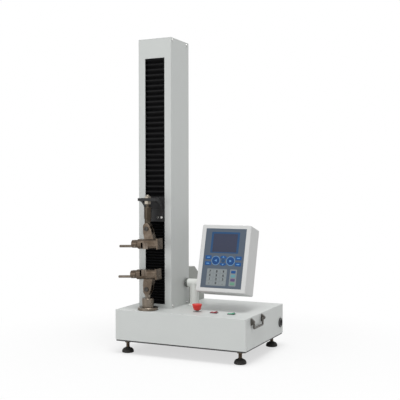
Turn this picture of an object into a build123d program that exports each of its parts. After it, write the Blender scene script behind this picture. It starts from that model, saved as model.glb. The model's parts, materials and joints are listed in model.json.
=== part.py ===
"""Single-column strength tester for yarn skeins.

Millimetres, X to the right, Y to the back, Z up. The origin is on the floor, under the middle of
the base. Every driving dimension is named in the first section. What fits in, seats on or lines up
with another piece takes its size from the same names and a named clearance.
"""
import math
import os

from build123d import *

os.makedirs("parts", exist_ok=True)

# Clearances
running_gap = 0.05      # radial, turning and sliding fits
free_gap = 0.3          # between pieces that pass each other
panel_gap = 0.5         # round pieces that pass through sheet metal

# Base
base_width = 400
base_depth = 300
base_height = 90
foot_height = 35
sheet = 2
base_plate_thickness = 4
base_plate_inset = 2
base_edge_radius = 1.5

base_bottom = foot_height
base_top = base_bottom + base_height
plate_top = base_bottom + base_plate_thickness

# Levelling feet
foot_inset = 26
foot_pad_diameter = 34
foot_pad_height = 13
foot_neck_diameter = 17
foot_stud_diameter = 10
foot_stud_reach = 16
lock_nut_width = 17
lock_nut_height = 6

# Column
column_left_inset = 35.5
column_width = 106
column_depth = 114
column_height = 777
frame_wall = 5
frame_back_wall = 8
window_width = 63
window_sill = 11
window_header = 57
cap_lip_depth = 8

column_front_inset = base_depth / 4
column_x = -base_width / 2 + column_left_inset + column_width / 2
column_front = -base_depth / 2 + column_front_inset
column_back = column_front + column_depth
column_y = (column_front + column_back) / 2
column_top = base_top + column_height
window_bottom = base_top + window_sill
window_top = column_top - window_header
frame_width = column_width - 2 * sheet
frame_inner_width = frame_width - 2 * frame_wall
frame_front = column_front + sheet
frame_inner_back = column_back - frame_back_wall
frame_top = column_top - sheet

# Small screws at the corners of the side panels
panel_screw_diameter = 3.2
panel_screw_head = 6.4
panel_screw_head_height = 1.8
panel_screw_front_inset = 9
panel_screw_back_inset = 14
panel_screw_end_inset = 7

# Guide rods, screw and their end blocks
rod_diameter = 16
rod_web = 3
bush_diameter = 26
nut_diameter = 26
guide_setback = 77
screw_diameter = 16
journal_diameter = 10
bearing_diameter = 26
bearing_width = 8
end_block_height = 22
end_block_reach = 37
lower_block_top = base_top - 5
upper_block_drop = 22
screw_lead = 10

rod_spacing = bush_diameter + nut_diameter + 2 * rod_web
guide_y = column_front + guide_setback
end_block_front = guide_y - end_block_reach
upper_block_top = frame_top - upper_block_drop
upper_block_bottom = upper_block_top - end_block_height
lower_block_bottom = lower_block_top - end_block_height

# Belt drive and motor
belt_width = 15
belt_thickness = 3
belt_bottom = 66
belt_slot_margin = 6
driven_pulley_diameter = 57
motor_pulley_diameter = 28.5
pulley_flange = 2
pulley_flange_rim = 3
motor_diameter = 60
motor_height = 72
motor_flange = 64
motor_flange_thickness = 6
motor_shaft_diameter = 8
motor_shaft_reach = 20
motor_setback = 33

motor_y = column_back + motor_setback
belt_top = belt_bottom + belt_width

# Housing behind the column
drive_housing_height = 108
drive_housing_rear_inset = 2
drive_housing_flat = 40
drive_housing_slope = 0.768
vent_count = 5
vent_width = 60
vent_height = 4
vent_pitch = 8

# Crosshead
crosshead_rise = 250
crosshead_plate_height = 69.5
crosshead_plate_width = 60
crosshead_plate_thickness = 6
crosshead_plate_proud = 1
carriage_height = 60
carriage_width = 88
carriage_front_reach = 30
carriage_back_reach = 24
carriage_neck_width = 56
bush_length = 28
nut_length = 44
nut_flange_diameter = 36
nut_flange_thickness = 8

crosshead_plate_bottom = base_top + crosshead_rise
crosshead_plate_top = crosshead_plate_bottom + crosshead_plate_height
crosshead_plate_front = column_front - crosshead_plate_proud
crosshead_plate_back = crosshead_plate_front + crosshead_plate_thickness
carriage_front = guide_y - carriage_front_reach
carriage_back = guide_y + carriage_back_reach
carriage_bottom = crosshead_plate_bottom + (crosshead_plate_height - carriage_height) / 2

# Bellows
bellows_width = 76
bellows_depth = 11
bellows_skin = 1.2
bellows_upper_pleats = 29
bellows_lower_pleats = 30
bellows_end_overlap = 6
bellows_top_clearance = 3

bellows_front = frame_front + free_gap
bellows_upper_end = frame_top - cap_lip_depth - bellows_top_clearance
bellows_lower_end = window_bottom - bellows_end_overlap

# Bracket in front of the crosshead plate
clamp_front_inset = 32
bracket_width = 56
bracket_flange_height = 35
bracket_flange_thickness = 6
bracket_plate_thickness = 8
bracket_plate_rise = 67.5
bracket_overhang = 8
bracket_shelf_depth = 24
bracket_flat = 9
gusset_thickness = 8
gusset_rise = 18
bracket_bolt_diameter = 4
bracket_bolt_head = 7
bracket_bolt_head_height = 4
bracket_bolt_rise = 12
bracket_bolt_offsets = (-26, -15, 15, 26)

clamp_y = -base_depth / 2 + clamp_front_inset
bracket_back = crosshead_plate_front
bracket_flange_front = bracket_back - bracket_flange_thickness
bracket_front = clamp_y - bracket_overhang
bracket_top = crosshead_plate_bottom + bracket_plate_rise
bracket_plate_bottom = bracket_top - bracket_plate_thickness

# Upper adaptor between the bracket and the upper clamp
adaptor_diameter = 21
adaptor_neck_diameter = 18
adaptor_height = 42.5
adaptor_shoulder = 8
adaptor_drop = 16.5
stud_diameter = 10
stud_nut_width = 17
stud_nut_height = 9
cap_nut_height = 4.5
cap_nut_dome = 6

adaptor_top = bracket_plate_bottom - adaptor_drop
adaptor_bottom = adaptor_top - adaptor_height
stud_top = bracket_top + cap_nut_height

# Clamps. Distances along a clamp count from its clevis pin.
clevis_pin_diameter = 8
clevis_pin_head = 13
clevis_pin_head_height = 2.5
tang_thickness = 8
tang_width = 16
tang_end = 9
tang_clearance = 20
fork_depth = 18
lug_radius = 10.5
lug_centre = 6
fork_root = 13
lug_flank = 12
lug_inner_waist = 3.5
lug_outer_flare = 3
lug_outer_base = 22
yoke_length = 32
body_centre = 42.5
body_height = 28
body_depth = 30
body_left = 28
body_right = 38
body_edge_radius = 9
end_plate_thickness = 5
end_plate_height = 30
jaw_slot_left = 16
jaw_slot_right = 6.3
jaw_bridge = 9.5
jaw_gap = 0.5
jaw_plate_thickness = 10
jaw_depth = 29.4
jaw_height = 18
boss_diameter = 20
boss_length = 3.5
handle_head_diameter = 24
handle_head_length = 18
plunger_diameter = 12
plunger_tip_diameter = 4.4
plunger_shoulder = 30
plunger_end = 35.5
lever_slot = 8.4
lever_slot_start = 34.7
lever_pin_x = 40
lever_pin_drop = 6.5
lever_pin_diameter = 5
lever_hub_radius = 3.9
lever_nose_radius = 2.5
lever_nose_x = 1.7
lever_hub_width = 7.8
lever_rod_diameter = 7.5
lever_reach = 94.5
lever_trunnion = 19
upper_clamp_tilt = 2
lower_clamp_tilt = 3

upper_pin_z = adaptor_bottom - tang_clearance

# Seat of the lower clamp, on the load cell
seat_flange_diameter = 58
seat_flange_thickness = 8
seat_diameter = 34
seat_height = 33.5
seat_neck_diameter = 15
seat_neck_height = 6
seat_spigot_diameter = 24
seat_hole_gap = 2
lower_pin_rise = 59

lower_pin_z = base_top + lower_pin_rise
load_cell_length = 110
load_cell_width = 28
load_cell_height = 28
load_cell_top = 88
load_cell_end = 16
load_cell_bore = 15
load_cell_bore_spacing = 30
pedestal_length = 30

# Control box on its post
box_tilt = 15.75
box_post_gap = 44.9
box_width = 150
box_length = 192.5
box_thickness = 66
box_reach = 87
box_front_rise = 55.5
box_wall = 2.5
box_corner_radius = 4
bezel_depth = 12
keypad_side_margin = 13
keypad_end_margin = 10.75
keypad_thickness = 1.2
keypad_ledge = 3
display_window_width = 74
display_window_height = 53
display_drop = 52.3
display_border = 6
display_depth = 12
board_margin = 20
board_thickness = 1.6
post_column_gap = 28.5
post_front_inset = 168
post_diameter = 27
post_collar_diameter = 37
post_collar_height = 3
hinge_rise = 65
barrel_diameter = 25
barrel_left = 20
barrel_right = 35
hinge_shaft_diameter = 14
hinge_lug_width = 12
hinge_lug_inset = 16
hinge_lug_radius = 11
tilt_knob_diameter = 20
tilt_knob_length = 6
tilt_knob_stub = 12
tilt_knob_stub_length = 8

hinge_z = base_top + hinge_rise
post_x = column_x + column_width / 2 + post_column_gap
post_y = -base_depth / 2 + post_front_inset
box_left = post_x + box_post_gap
box_front_y = post_y - box_reach
box_x = box_left + box_width / 2
keypad_width = box_width - 2 * keypad_side_margin
keypad_length = box_length - 2 * keypad_end_margin
keypad_bottom = keypad_end_margin
display_centre = box_length - display_drop
board_width = box_width - 2 * board_margin
board_length = box_length - 2 * board_margin
box_front_z = base_top + box_front_rise

# Controls on top of the base
controls_front_inset = 60
estop_right_inset = 170
estop_head_diameter = 28
estop_neck_diameter = 15
estop_head_bottom = 7
estop_head_height = 15
estop_stem_diameter = 10
estop_stem_reach = 15
estop_ring_diameter = 24
estop_ring_height = 2.5
estop_body_diameter = 21
estop_body_depth = 40
switch_pitch = 52
switch_width = 21
switch_depth = 15
switch_bezel_height = 1.5
switch_rim = 1.8
switch_body_depth = 24
switch_pocket_depth = 9
rocker_height = 4
rocker_dip = 1.2
rocker_keel = 3
rocker_tilt = 9
rocker_pivot_rise = 0.5

controls_y = -base_depth / 2 + controls_front_inset
estop_x = base_width / 2 - estop_right_inset
red_switch_x = estop_x + switch_pitch
green_switch_x = red_switch_x + switch_pitch

# Folding side handles
handle_front_inset = 79
handle_top_drop = 13
handle_pitch = 80
handle_drop = 18
handle_wire = 5.5
handle_bend = 5
handle_ear_length = 8
handle_ear_diameter = 9.5
handle_ear_plate = 2
handle_standoff = 6

# Round inlet on the right side
inlet_back_inset = 25
inlet_top_drop = 52.5
inlet_flange_diameter = 28
inlet_flange_height = 3
inlet_recess_diameter = 19
inlet_recess_depth = 3.5
inlet_body_diameter = 22
inlet_body_depth = 18
inlet_pin_diameter = 3
inlet_pin_circle = 9

# Power supply in the base
supply_width = 150
supply_depth = 90
supply_height = 45
supply_right_inset = 105
supply_back_inset = 95

inlet_y = base_depth / 2 - inlet_back_inset
inlet_z = base_top - inlet_top_drop
supply_x = base_width / 2 - supply_right_inset
supply_y = base_depth / 2 - supply_back_inset


# Base plate with the pedestal of the load cell
load_cell_left = column_x - load_cell_end
load_cell_right = load_cell_left + load_cell_length
load_cell_bottom = load_cell_top - load_cell_height
foot_places = {
    "front_left": (-base_width / 2 + foot_inset, -base_depth / 2 + foot_inset),
    "front_right": (base_width / 2 - foot_inset, -base_depth / 2 + foot_inset),
    "back_left": (-base_width / 2 + foot_inset, base_depth / 2 - foot_inset),
    "back_right": (base_width / 2 - foot_inset, base_depth / 2 - foot_inset),
}

with BuildPart() as base_plate:
    with BuildSketch(Plane.XY.offset(base_bottom)):
        Rectangle(base_width - 2 * base_plate_inset, base_depth - 2 * base_plate_inset)
        with Locations(*foot_places.values()):
            Circle(foot_stud_diameter / 2 + running_gap, mode=Mode.SUBTRACT)
    extrude(amount=base_plate_thickness)
    with BuildSketch(Plane.XY.offset(plate_top)):
        with Locations((load_cell_right - pedestal_length / 2, clamp_y)):
            Rectangle(pedestal_length, load_cell_width)
    extrude(amount=load_cell_bottom - plate_top)
base_plate.part.label = "base_plate"
export_step(base_plate.part, "parts/base_plate.step")

# Base housing, a folded box open at the bottom
with BuildPart() as base_housing:
    with Locations((0, 0, plate_top)):
        Box(base_width, base_depth, base_top - plate_top, align=(Align.CENTER, Align.CENTER, Align.MIN))
    housing_edges = base_housing.edges().filter_by(Axis.Z) + base_housing.faces().sort_by(Axis.Z)[-1].edges()
    fillet(housing_edges, base_edge_radius)
    with Locations((0, 0, plate_top)):
        Box(
            base_width - 2 * sheet,
            base_depth - 2 * sheet,
            base_top - plate_top - sheet,
            align=(Align.CENTER, Align.CENTER, Align.MIN),
            mode=Mode.SUBTRACT,
        )
    with BuildSketch(Plane.XY.offset(base_top)):
        with Locations((column_x, (frame_front + column_back) / 2)):
            Rectangle(frame_width + 2 * free_gap, column_back - frame_front + 2 * free_gap)
        with Locations((column_x, clamp_y)):
            Circle(seat_spigot_diameter / 2 + seat_hole_gap)
        with Locations((column_x, motor_y)):
            Circle(motor_pulley_diameter / 2 + pulley_flange_rim)
        with Locations((estop_x, controls_y)):
            Circle(estop_body_diameter / 2 + panel_gap)
        with Locations((red_switch_x, controls_y), (green_switch_x, controls_y)):
            Rectangle(switch_width - 2 + panel_gap, switch_depth - 2 + panel_gap)
    extrude(amount=-sheet, mode=Mode.SUBTRACT)
    with BuildSketch(Plane.YZ.offset(base_width / 2)):
        with Locations((inlet_y, inlet_z)):
            Circle(inlet_body_diameter / 2 + panel_gap)
    extrude(amount=-sheet, mode=Mode.SUBTRACT)
base_housing.part.label = "base_housing"
export_step(base_housing.part, "parts/base_housing.step")

# Levelling feet, each a bell pad on a stud
for corner, (foot_x, foot_y) in foot_places.items():
    with BuildPart() as foot:
        with BuildSketch(Plane.XZ.offset(-foot_y)):
            with BuildLine():
                Polyline(
                    (foot_x, 0),
                    (foot_x + foot_pad_diameter / 2 - 1, 0),
                    (foot_x + foot_pad_diameter / 2, 1),
                    (foot_x + foot_pad_diameter / 2, 3),
                )
                RadiusArc(
                    (foot_x + foot_pad_diameter / 2, 3),
                    (foot_x + foot_neck_diameter / 2, foot_pad_height),
                    foot_pad_diameter / 2,
                )
                Polyline(
                    (foot_x + foot_neck_diameter / 2, foot_pad_height),
                    (foot_x + foot_stud_diameter / 2, foot_pad_height),
                    (foot_x + foot_stud_diameter / 2, plate_top + foot_stud_reach),
                    (foot_x, plate_top + foot_stud_reach),
                    (foot_x, 0),
                )
            make_face()
        revolve(axis=Axis((foot_x, foot_y, 0), (0, 0, 1)))
    foot.part.label = f"foot_{corner}"
    export_step(foot.part, f"parts/foot_{corner}.step")

with BuildPart() as foot_lock_nuts:
    with BuildSketch(Plane.XY.offset(base_bottom - lock_nut_height)):
        with Locations(*foot_places.values()):
            RegularPolygon(lock_nut_width / 2, 6, major_radius=False)
            Circle(foot_stud_diameter / 2 + running_gap, mode=Mode.SUBTRACT)
    extrude(amount=lock_nut_height)
foot_lock_nuts.part.label = "foot_lock_nuts"
export_step(foot_lock_nuts.part, "parts/foot_lock_nuts.step")

# Column frame, a channel open to the front that stands on the base plate
belt_slot_width = driven_pulley_diameter + 2 * belt_thickness + belt_slot_margin

with BuildPart() as column_frame:
    with BuildSketch(Plane.XY.offset(plate_top)):
        with Locations((column_x, (frame_front + column_back) / 2)):
            Rectangle(frame_width, column_back - frame_front)
        with Locations((column_x, (frame_front + frame_inner_back) / 2)):
            Rectangle(frame_inner_width, frame_inner_back - frame_front, mode=Mode.SUBTRACT)
    extrude(amount=frame_top - plate_top)
    with Locations((column_x, column_back - frame_back_wall / 2, (belt_bottom + belt_top) / 2)):
        Box(belt_slot_width, 2 * frame_back_wall, belt_width + 2 * belt_slot_margin, mode=Mode.SUBTRACT)
    for side in (-1, 1):
        with BuildSketch(Plane(origin=(column_x + side * frame_width / 2, 0, 0), x_dir=(0, 1, 0), z_dir=(side, 0, 0))):
            for screw_y in (column_front + panel_screw_front_inset, column_back - panel_screw_back_inset):
                for screw_z in (base_top + panel_screw_end_inset, column_top - panel_screw_end_inset):
                    with Locations((screw_y, side * screw_z)):
                        Circle(panel_screw_diameter / 2)
        extrude(amount=-frame_wall, mode=Mode.SUBTRACT)
column_frame.part.label = "column_frame"
export_step(column_frame.part, "parts/column_frame.step")

# Front panel with the long slot
with BuildPart() as column_front_panel:
    with BuildSketch(Plane.XZ.offset(-column_front)):
        with Locations((column_x, (base_top + frame_top) / 2)):
            Rectangle(column_width, frame_top - base_top)
        with Locations((column_x, (window_bottom + window_top) / 2)):
            Rectangle(window_width, window_top - window_bottom, mode=Mode.SUBTRACT)
    extrude(amount=-sheet)
column_front_panel.part.label = "column_front_panel"
export_step(column_front_panel.part, "parts/column_front_panel.step")

# Side panels, one solid on each side of the frame
with BuildPart() as column_side_panels:
    for side in (-1, 1):
        side_plane = Plane(
            origin=(column_x + side * frame_width / 2, 0, 0), x_dir=(0, 1, 0), z_dir=(side, 0, 0)
        )
        with BuildSketch(side_plane):
            with Locations(((frame_front + column_back) / 2, side * (base_top + frame_top) / 2)):
                Rectangle(column_back - frame_front, frame_top - base_top)
            for screw_y in (column_front + panel_screw_front_inset, column_back - panel_screw_back_inset):
                for screw_z in (base_top + panel_screw_end_inset, column_top - panel_screw_end_inset):
                    with Locations((screw_y, side * screw_z)):
                        Circle(panel_screw_diameter / 2, mode=Mode.SUBTRACT)
        extrude(amount=sheet)
column_side_panels.part.label = "column_side_panels"
export_step(column_side_panels.part, "parts/column_side_panels.step")

with BuildPart() as column_screws:
    for side in (-1, 1):
        for screw_y in (column_front + panel_screw_front_inset, column_back - panel_screw_back_inset):
            for screw_z in (base_top + panel_screw_end_inset, column_top - panel_screw_end_inset):
                screw_plane = Plane(
                    origin=(column_x + side * column_width / 2, screw_y, screw_z), z_dir=(side, 0, 0)
                )
                with BuildSketch(screw_plane):
                    Circle(panel_screw_head / 2)
                extrude(amount=panel_screw_head_height, taper=15)
                with BuildSketch(screw_plane):
                    Circle(panel_screw_diameter / 2)
                extrude(amount=-(sheet + frame_wall))
column_screws.part.label = "column_screws"
export_step(column_screws.part, "parts/column_screws.step")

# Cap with a lip that drops into the frame
lip_y = (frame_front + frame_inner_back) / 2
lip_width = frame_inner_width - 2 * free_gap
lip_depth = frame_inner_back - frame_front - 2 * free_gap

with BuildPart() as column_cap:
    with BuildSketch(Plane.XY.offset(frame_top)):
        with Locations((column_x, column_y)):
            Rectangle(column_width, column_depth)
    extrude(amount=sheet)
    fillet(column_cap.faces().sort_by(Axis.Z)[-1].edges(), sheet / 2)
    with BuildSketch(Plane.XY.offset(frame_top)):
        with Locations((column_x, lip_y)):
            Rectangle(lip_width, lip_depth)
            Rectangle(lip_width - 2 * sheet, lip_depth - 2 * sheet, mode=Mode.SUBTRACT)
    extrude(amount=-cap_lip_depth)
column_cap.part.label = "column_cap"
export_step(column_cap.part, "parts/column_cap.step")

# Guide rods and the blocks that hold them and the screw
rod_places = [(column_x - rod_spacing / 2, guide_y), (column_x + rod_spacing / 2, guide_y)]

with BuildPart() as guide_rods:
    with BuildSketch(Plane.XY.offset(lower_block_bottom)):
        with Locations(*rod_places):
            Circle(rod_diameter / 2)
    extrude(amount=upper_block_top - lower_block_bottom)
guide_rods.part.label = "guide_rods"
export_step(guide_rods.part, "parts/guide_rods.step")

with BuildPart() as screw_end_blocks:
    for block_bottom in (lower_block_bottom, upper_block_bottom):
        with BuildSketch(Plane.XY.offset(block_bottom)):
            with Locations((column_x, (end_block_front + frame_inner_back) / 2)):
                Rectangle(frame_inner_width, frame_inner_back - end_block_front)
            with Locations(*rod_places):
                Circle(rod_diameter / 2, mode=Mode.SUBTRACT)
            with Locations((column_x, guide_y)):
                Circle(journal_diameter / 2 + 1, mode=Mode.SUBTRACT)
        extrude(amount=end_block_height)
    for pocket_bottom in (lower_block_top - bearing_width, upper_block_bottom):
        with BuildSketch(Plane.XY.offset(pocket_bottom)):
            with Locations((column_x, guide_y)):
                Circle(bearing_diameter / 2)
        extrude(amount=bearing_width, mode=Mode.SUBTRACT)
screw_end_blocks.part.label = "screw_end_blocks"
export_step(screw_end_blocks.part, "parts/screw_end_blocks.step")

with BuildPart() as screw_bearings:
    for pocket_bottom in (lower_block_top - bearing_width, upper_block_bottom):
        with BuildSketch(Plane.XY.offset(pocket_bottom)):
            with Locations((column_x, guide_y)):
                Circle(bearing_diameter / 2)
                Circle(journal_diameter / 2 + running_gap, mode=Mode.SUBTRACT)
        extrude(amount=bearing_width)
screw_bearings.part.label = "screw_bearings"
export_step(screw_bearings.part, "parts/screw_bearings.step")

# Screw with a journal at each end
with BuildPart() as ball_screw:
    with Locations((column_x, guide_y, lower_block_top + free_gap)):
        Cylinder(
            screw_diameter / 2,
            upper_block_bottom - lower_block_top - 2 * free_gap,
            align=(Align.CENTER, Align.CENTER, Align.MIN),
        )
    with Locations((column_x, guide_y, belt_bottom - pulley_flange)):
        Cylinder(
            journal_diameter / 2,
            upper_block_top - belt_bottom,
            align=(Align.CENTER, Align.CENTER, Align.MIN),
        )
ball_screw.part.label = "ball_screw"
export_step(ball_screw.part, "parts/ball_screw.step")

# Pulleys, each a grooved drum between two flanges
with BuildPart() as driven_pulley:
    with BuildSketch(Plane.XY.offset(belt_bottom - pulley_flange)):
        with Locations((column_x, guide_y)):
            Circle(driven_pulley_diameter / 2 + pulley_flange_rim - belt_thickness)
    extrude(amount=belt_width + 2 * pulley_flange)
    with BuildSketch(Plane.XY.offset(belt_bottom - pulley_flange)):
        with Locations((column_x, guide_y)):
            Circle(driven_pulley_diameter / 2 + pulley_flange_rim)
    extrude(amount=pulley_flange - free_gap)
    with BuildSketch(Plane.XY.offset(belt_top + free_gap)):
        with Locations((column_x, guide_y)):
            Circle(driven_pulley_diameter / 2 + pulley_flange_rim)
    extrude(amount=pulley_flange - free_gap)
    with BuildSketch(Plane.XY.offset(belt_bottom - pulley_flange)):
        with Locations((column_x, guide_y)):
            Circle(journal_diameter / 2)
    extrude(amount=belt_width + 2 * pulley_flange, mode=Mode.SUBTRACT)
driven_pulley.part.label = "driven_pulley"
export_step(driven_pulley.part, "parts/driven_pulley.step")

with BuildPart() as motor_pulley:
    with BuildSketch(Plane.XY.offset(belt_bottom - pulley_flange)):
        with Locations((column_x, motor_y)):
            Circle(motor_pulley_diameter / 2)
    extrude(amount=belt_width + 2 * pulley_flange)
    for flange_bottom in (belt_bottom - pulley_flange, belt_top + free_gap):
        with BuildSketch(Plane.XY.offset(flange_bottom)):
            with Locations((column_x, motor_y)):
                Circle(motor_pulley_diameter / 2 + pulley_flange_rim - free_gap)
        extrude(amount=pulley_flange - free_gap)
    with BuildSketch(Plane.XY.offset(belt_top)):
        with Locations((column_x, motor_y)):
            Circle(motor_shaft_diameter / 2)
    extrude(amount=base_top + motor_shaft_reach - belt_top)
motor_pulley.part.label = "motor_pulley"
export_step(motor_pulley.part, "parts/motor_pulley.step")

# Belt round both pulleys
with BuildPart() as timing_belt:
    with BuildSketch(Plane.XY.offset(belt_bottom)):
        with Locations((column_x, guide_y)):
            Circle(driven_pulley_diameter / 2 + free_gap + belt_thickness)
        with Locations((column_x, motor_y)):
            Circle(motor_pulley_diameter / 2 + free_gap + belt_thickness)
        make_hull()
    extrude(amount=belt_width)
    with BuildSketch(Plane.XY.offset(belt_bottom)):
        with Locations((column_x, guide_y)):
            Circle(driven_pulley_diameter / 2 + free_gap)
        with Locations((column_x, motor_y)):
            Circle(motor_pulley_diameter / 2 + free_gap)
        make_hull()
    extrude(amount=belt_width, mode=Mode.SUBTRACT)
timing_belt.part.label = "timing_belt"
export_step(timing_belt.part, "parts/timing_belt.step")

# Motor, standing on the base behind the column
with BuildPart() as drive_motor:
    with BuildSketch(Plane.XY.offset(base_top)):
        with Locations((column_x, motor_y)):
            RectangleRounded(motor_flange, motor_flange, 6)
    extrude(amount=motor_flange_thickness)
    with BuildSketch(Plane.XY.offset(base_top + motor_flange_thickness)):
        with Locations((column_x, motor_y)):
            Circle(motor_diameter / 2)
    extrude(amount=motor_height)
    fillet(drive_motor.faces().sort_by(Axis.Z)[-1].edges(), 4)
    with BuildSketch(Plane.XY.offset(base_top)):
        with Locations((column_x, motor_y)):
            Circle(motor_shaft_diameter / 2 + running_gap)
    extrude(amount=motor_shaft_reach + free_gap, mode=Mode.SUBTRACT)
drive_motor.part.label = "drive_motor"
export_step(drive_motor.part, "parts/drive_motor.step")

# Housing over the motor, bevelled towards the back, with louvres in its rear wall
drive_back = base_depth / 2 - drive_housing_rear_inset
drive_top = base_top + drive_housing_height
drive_rear_height = drive_housing_height - drive_housing_slope * (drive_back - column_back - drive_housing_flat)
drive_rear_top = base_top + drive_rear_height

with BuildPart() as drive_housing:
    with BuildSketch(Plane.YZ.offset(column_x - column_width / 2)):
        with BuildLine():
            Polyline(
                (column_back, base_top),
                (column_back, drive_top),
                (column_back + drive_housing_flat, drive_top),
                (drive_back, drive_rear_top),
                (drive_back, base_top),
                (column_back, base_top),
            )
        make_face()
    extrude(amount=column_width)
    bend_edges = drive_housing.edges().filter_by(Axis.X).group_by(Axis.Z)[-1].sort_by(Axis.Y)[-1:]
    fillet(bend_edges, 8)
    drive_open_faces = [
        drive_housing.faces().sort_by(Axis.Z)[0],
        drive_housing.faces().sort_by(Axis.Y)[0],
    ]
    offset(amount=-sheet, openings=drive_open_faces)
    with BuildSketch(Plane.XZ.offset(-drive_back)):
        with Locations((column_x, base_top + drive_rear_height / 2)):
            with GridLocations(1, vent_pitch, 1, vent_count):
                SlotOverall(vent_width, vent_height)
    extrude(amount=sheet, mode=Mode.SUBTRACT)
drive_housing.part.label = "drive_housing"
export_step(drive_housing.part, "parts/drive_housing.step")

with BuildPart() as power_supply:
    with Locations((supply_x, supply_y, plate_top)):
        Box(supply_width, supply_depth, supply_height, align=(Align.CENTER, Align.CENTER, Align.MIN))
    fillet(power_supply.edges().filter_by(Axis.Z), 2)
power_supply.part.label = "power_supply"
export_step(power_supply.part, "parts/power_supply.step")


# Bellows. Each is a folded skin whose pleats stack along Z.
def bellows_section(bottom, top, pleats):
    """Closed zigzag in the YZ plane: outer folds at the front, inner folds behind."""
    pitch = (top - bottom) / pleats
    front = [(bellows_front, bottom)]
    for index in range(pleats):
        front.append((bellows_front + bellows_depth - bellows_skin, bottom + (index + 0.5) * pitch))
        front.append((bellows_front, bottom + (index + 1) * pitch))
    back = [(y + bellows_skin, z) for y, z in reversed(front)]
    return front + back + [front[0]]


with BuildPart() as bellows_upper:
    with BuildSketch(Plane.YZ.offset(column_x - bellows_width / 2)):
        with BuildLine():
            Polyline(*bellows_section(crosshead_plate_top + free_gap, bellows_upper_end, bellows_upper_pleats))
        make_face()
    extrude(amount=bellows_width)
bellows_upper.part.label = "bellows_upper"
export_step(bellows_upper.part, "parts/bellows_upper.step")

with BuildPart() as bellows_lower:
    with BuildSketch(Plane.YZ.offset(column_x - bellows_width / 2)):
        with BuildLine():
            Polyline(*bellows_section(bellows_lower_end, crosshead_plate_bottom - free_gap, bellows_lower_pleats))
        make_face()
    extrude(amount=bellows_width)
bellows_lower.part.label = "bellows_lower"
export_step(bellows_lower.part, "parts/bellows_lower.step")

# Carriage inside the column, with a neck to the plate in the slot
with BuildPart() as carriage:
    with Locations((column_x, (carriage_front + carriage_back) / 2, carriage_bottom)):
        Box(
            carriage_width,
            carriage_back - carriage_front,
            carriage_height,
            align=(Align.CENTER, Align.CENTER, Align.MIN),
        )
    with Locations((column_x, (crosshead_plate_back + carriage_front) / 2, carriage_bottom)):
        Box(
            carriage_neck_width,
            carriage_front - crosshead_plate_back,
            carriage_height,
            align=(Align.CENTER, Align.CENTER, Align.MIN),
        )
    with Locations(
        (column_x, (crosshead_plate_front + crosshead_plate_back) / 2, crosshead_plate_bottom)
    ):
        Box(
            crosshead_plate_width,
            crosshead_plate_thickness,
            crosshead_plate_height,
            align=(Align.CENTER, Align.CENTER, Align.MIN),
        )
    with BuildSketch(Plane.XY.offset(carriage_bottom)):
        with Locations(*rod_places):
            Circle(bush_diameter / 2)
        with Locations((column_x, guide_y)):
            Circle(nut_diameter / 2)
    extrude(amount=carriage_height, mode=Mode.SUBTRACT)
carriage.part.label = "carriage"
export_step(carriage.part, "parts/carriage.step")

with BuildPart() as carriage_bushes:
    for bush_bottom in (carriage_bottom, carriage_bottom + carriage_height - bush_length):
        with BuildSketch(Plane.XY.offset(bush_bottom)):
            with Locations(*rod_places):
                Circle(bush_diameter / 2)
                Circle(rod_diameter / 2 + running_gap, mode=Mode.SUBTRACT)
        extrude(amount=bush_length)
carriage_bushes.part.label = "carriage_bushes"
export_step(carriage_bushes.part, "parts/carriage_bushes.step")

with BuildPart() as ball_nut:
    with BuildSketch(Plane.XY.offset(carriage_bottom - nut_flange_thickness)):
        with Locations((column_x, guide_y)):
            Circle(nut_flange_diameter / 2)
    extrude(amount=nut_flange_thickness)
    with BuildSketch(Plane.XY.offset(carriage_bottom)):
        with Locations((column_x, guide_y)):
            Circle(nut_diameter / 2)
    extrude(amount=nut_length)
    with BuildSketch(Plane.XY.offset(carriage_bottom - nut_flange_thickness)):
        with Locations((column_x, guide_y)):
            Circle(screw_diameter / 2 + running_gap)
    extrude(amount=nut_flange_thickness + nut_length, mode=Mode.SUBTRACT)
ball_nut.part.label = "ball_nut"
export_step(ball_nut.part, "parts/ball_nut.step")

# Bracket: a flange on the crosshead plate, a shelf for the stud and two curved gussets
gusset_top_end = crosshead_plate_bottom + bracket_flange_height
gusset_low_end = crosshead_plate_bottom + gusset_rise

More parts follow.
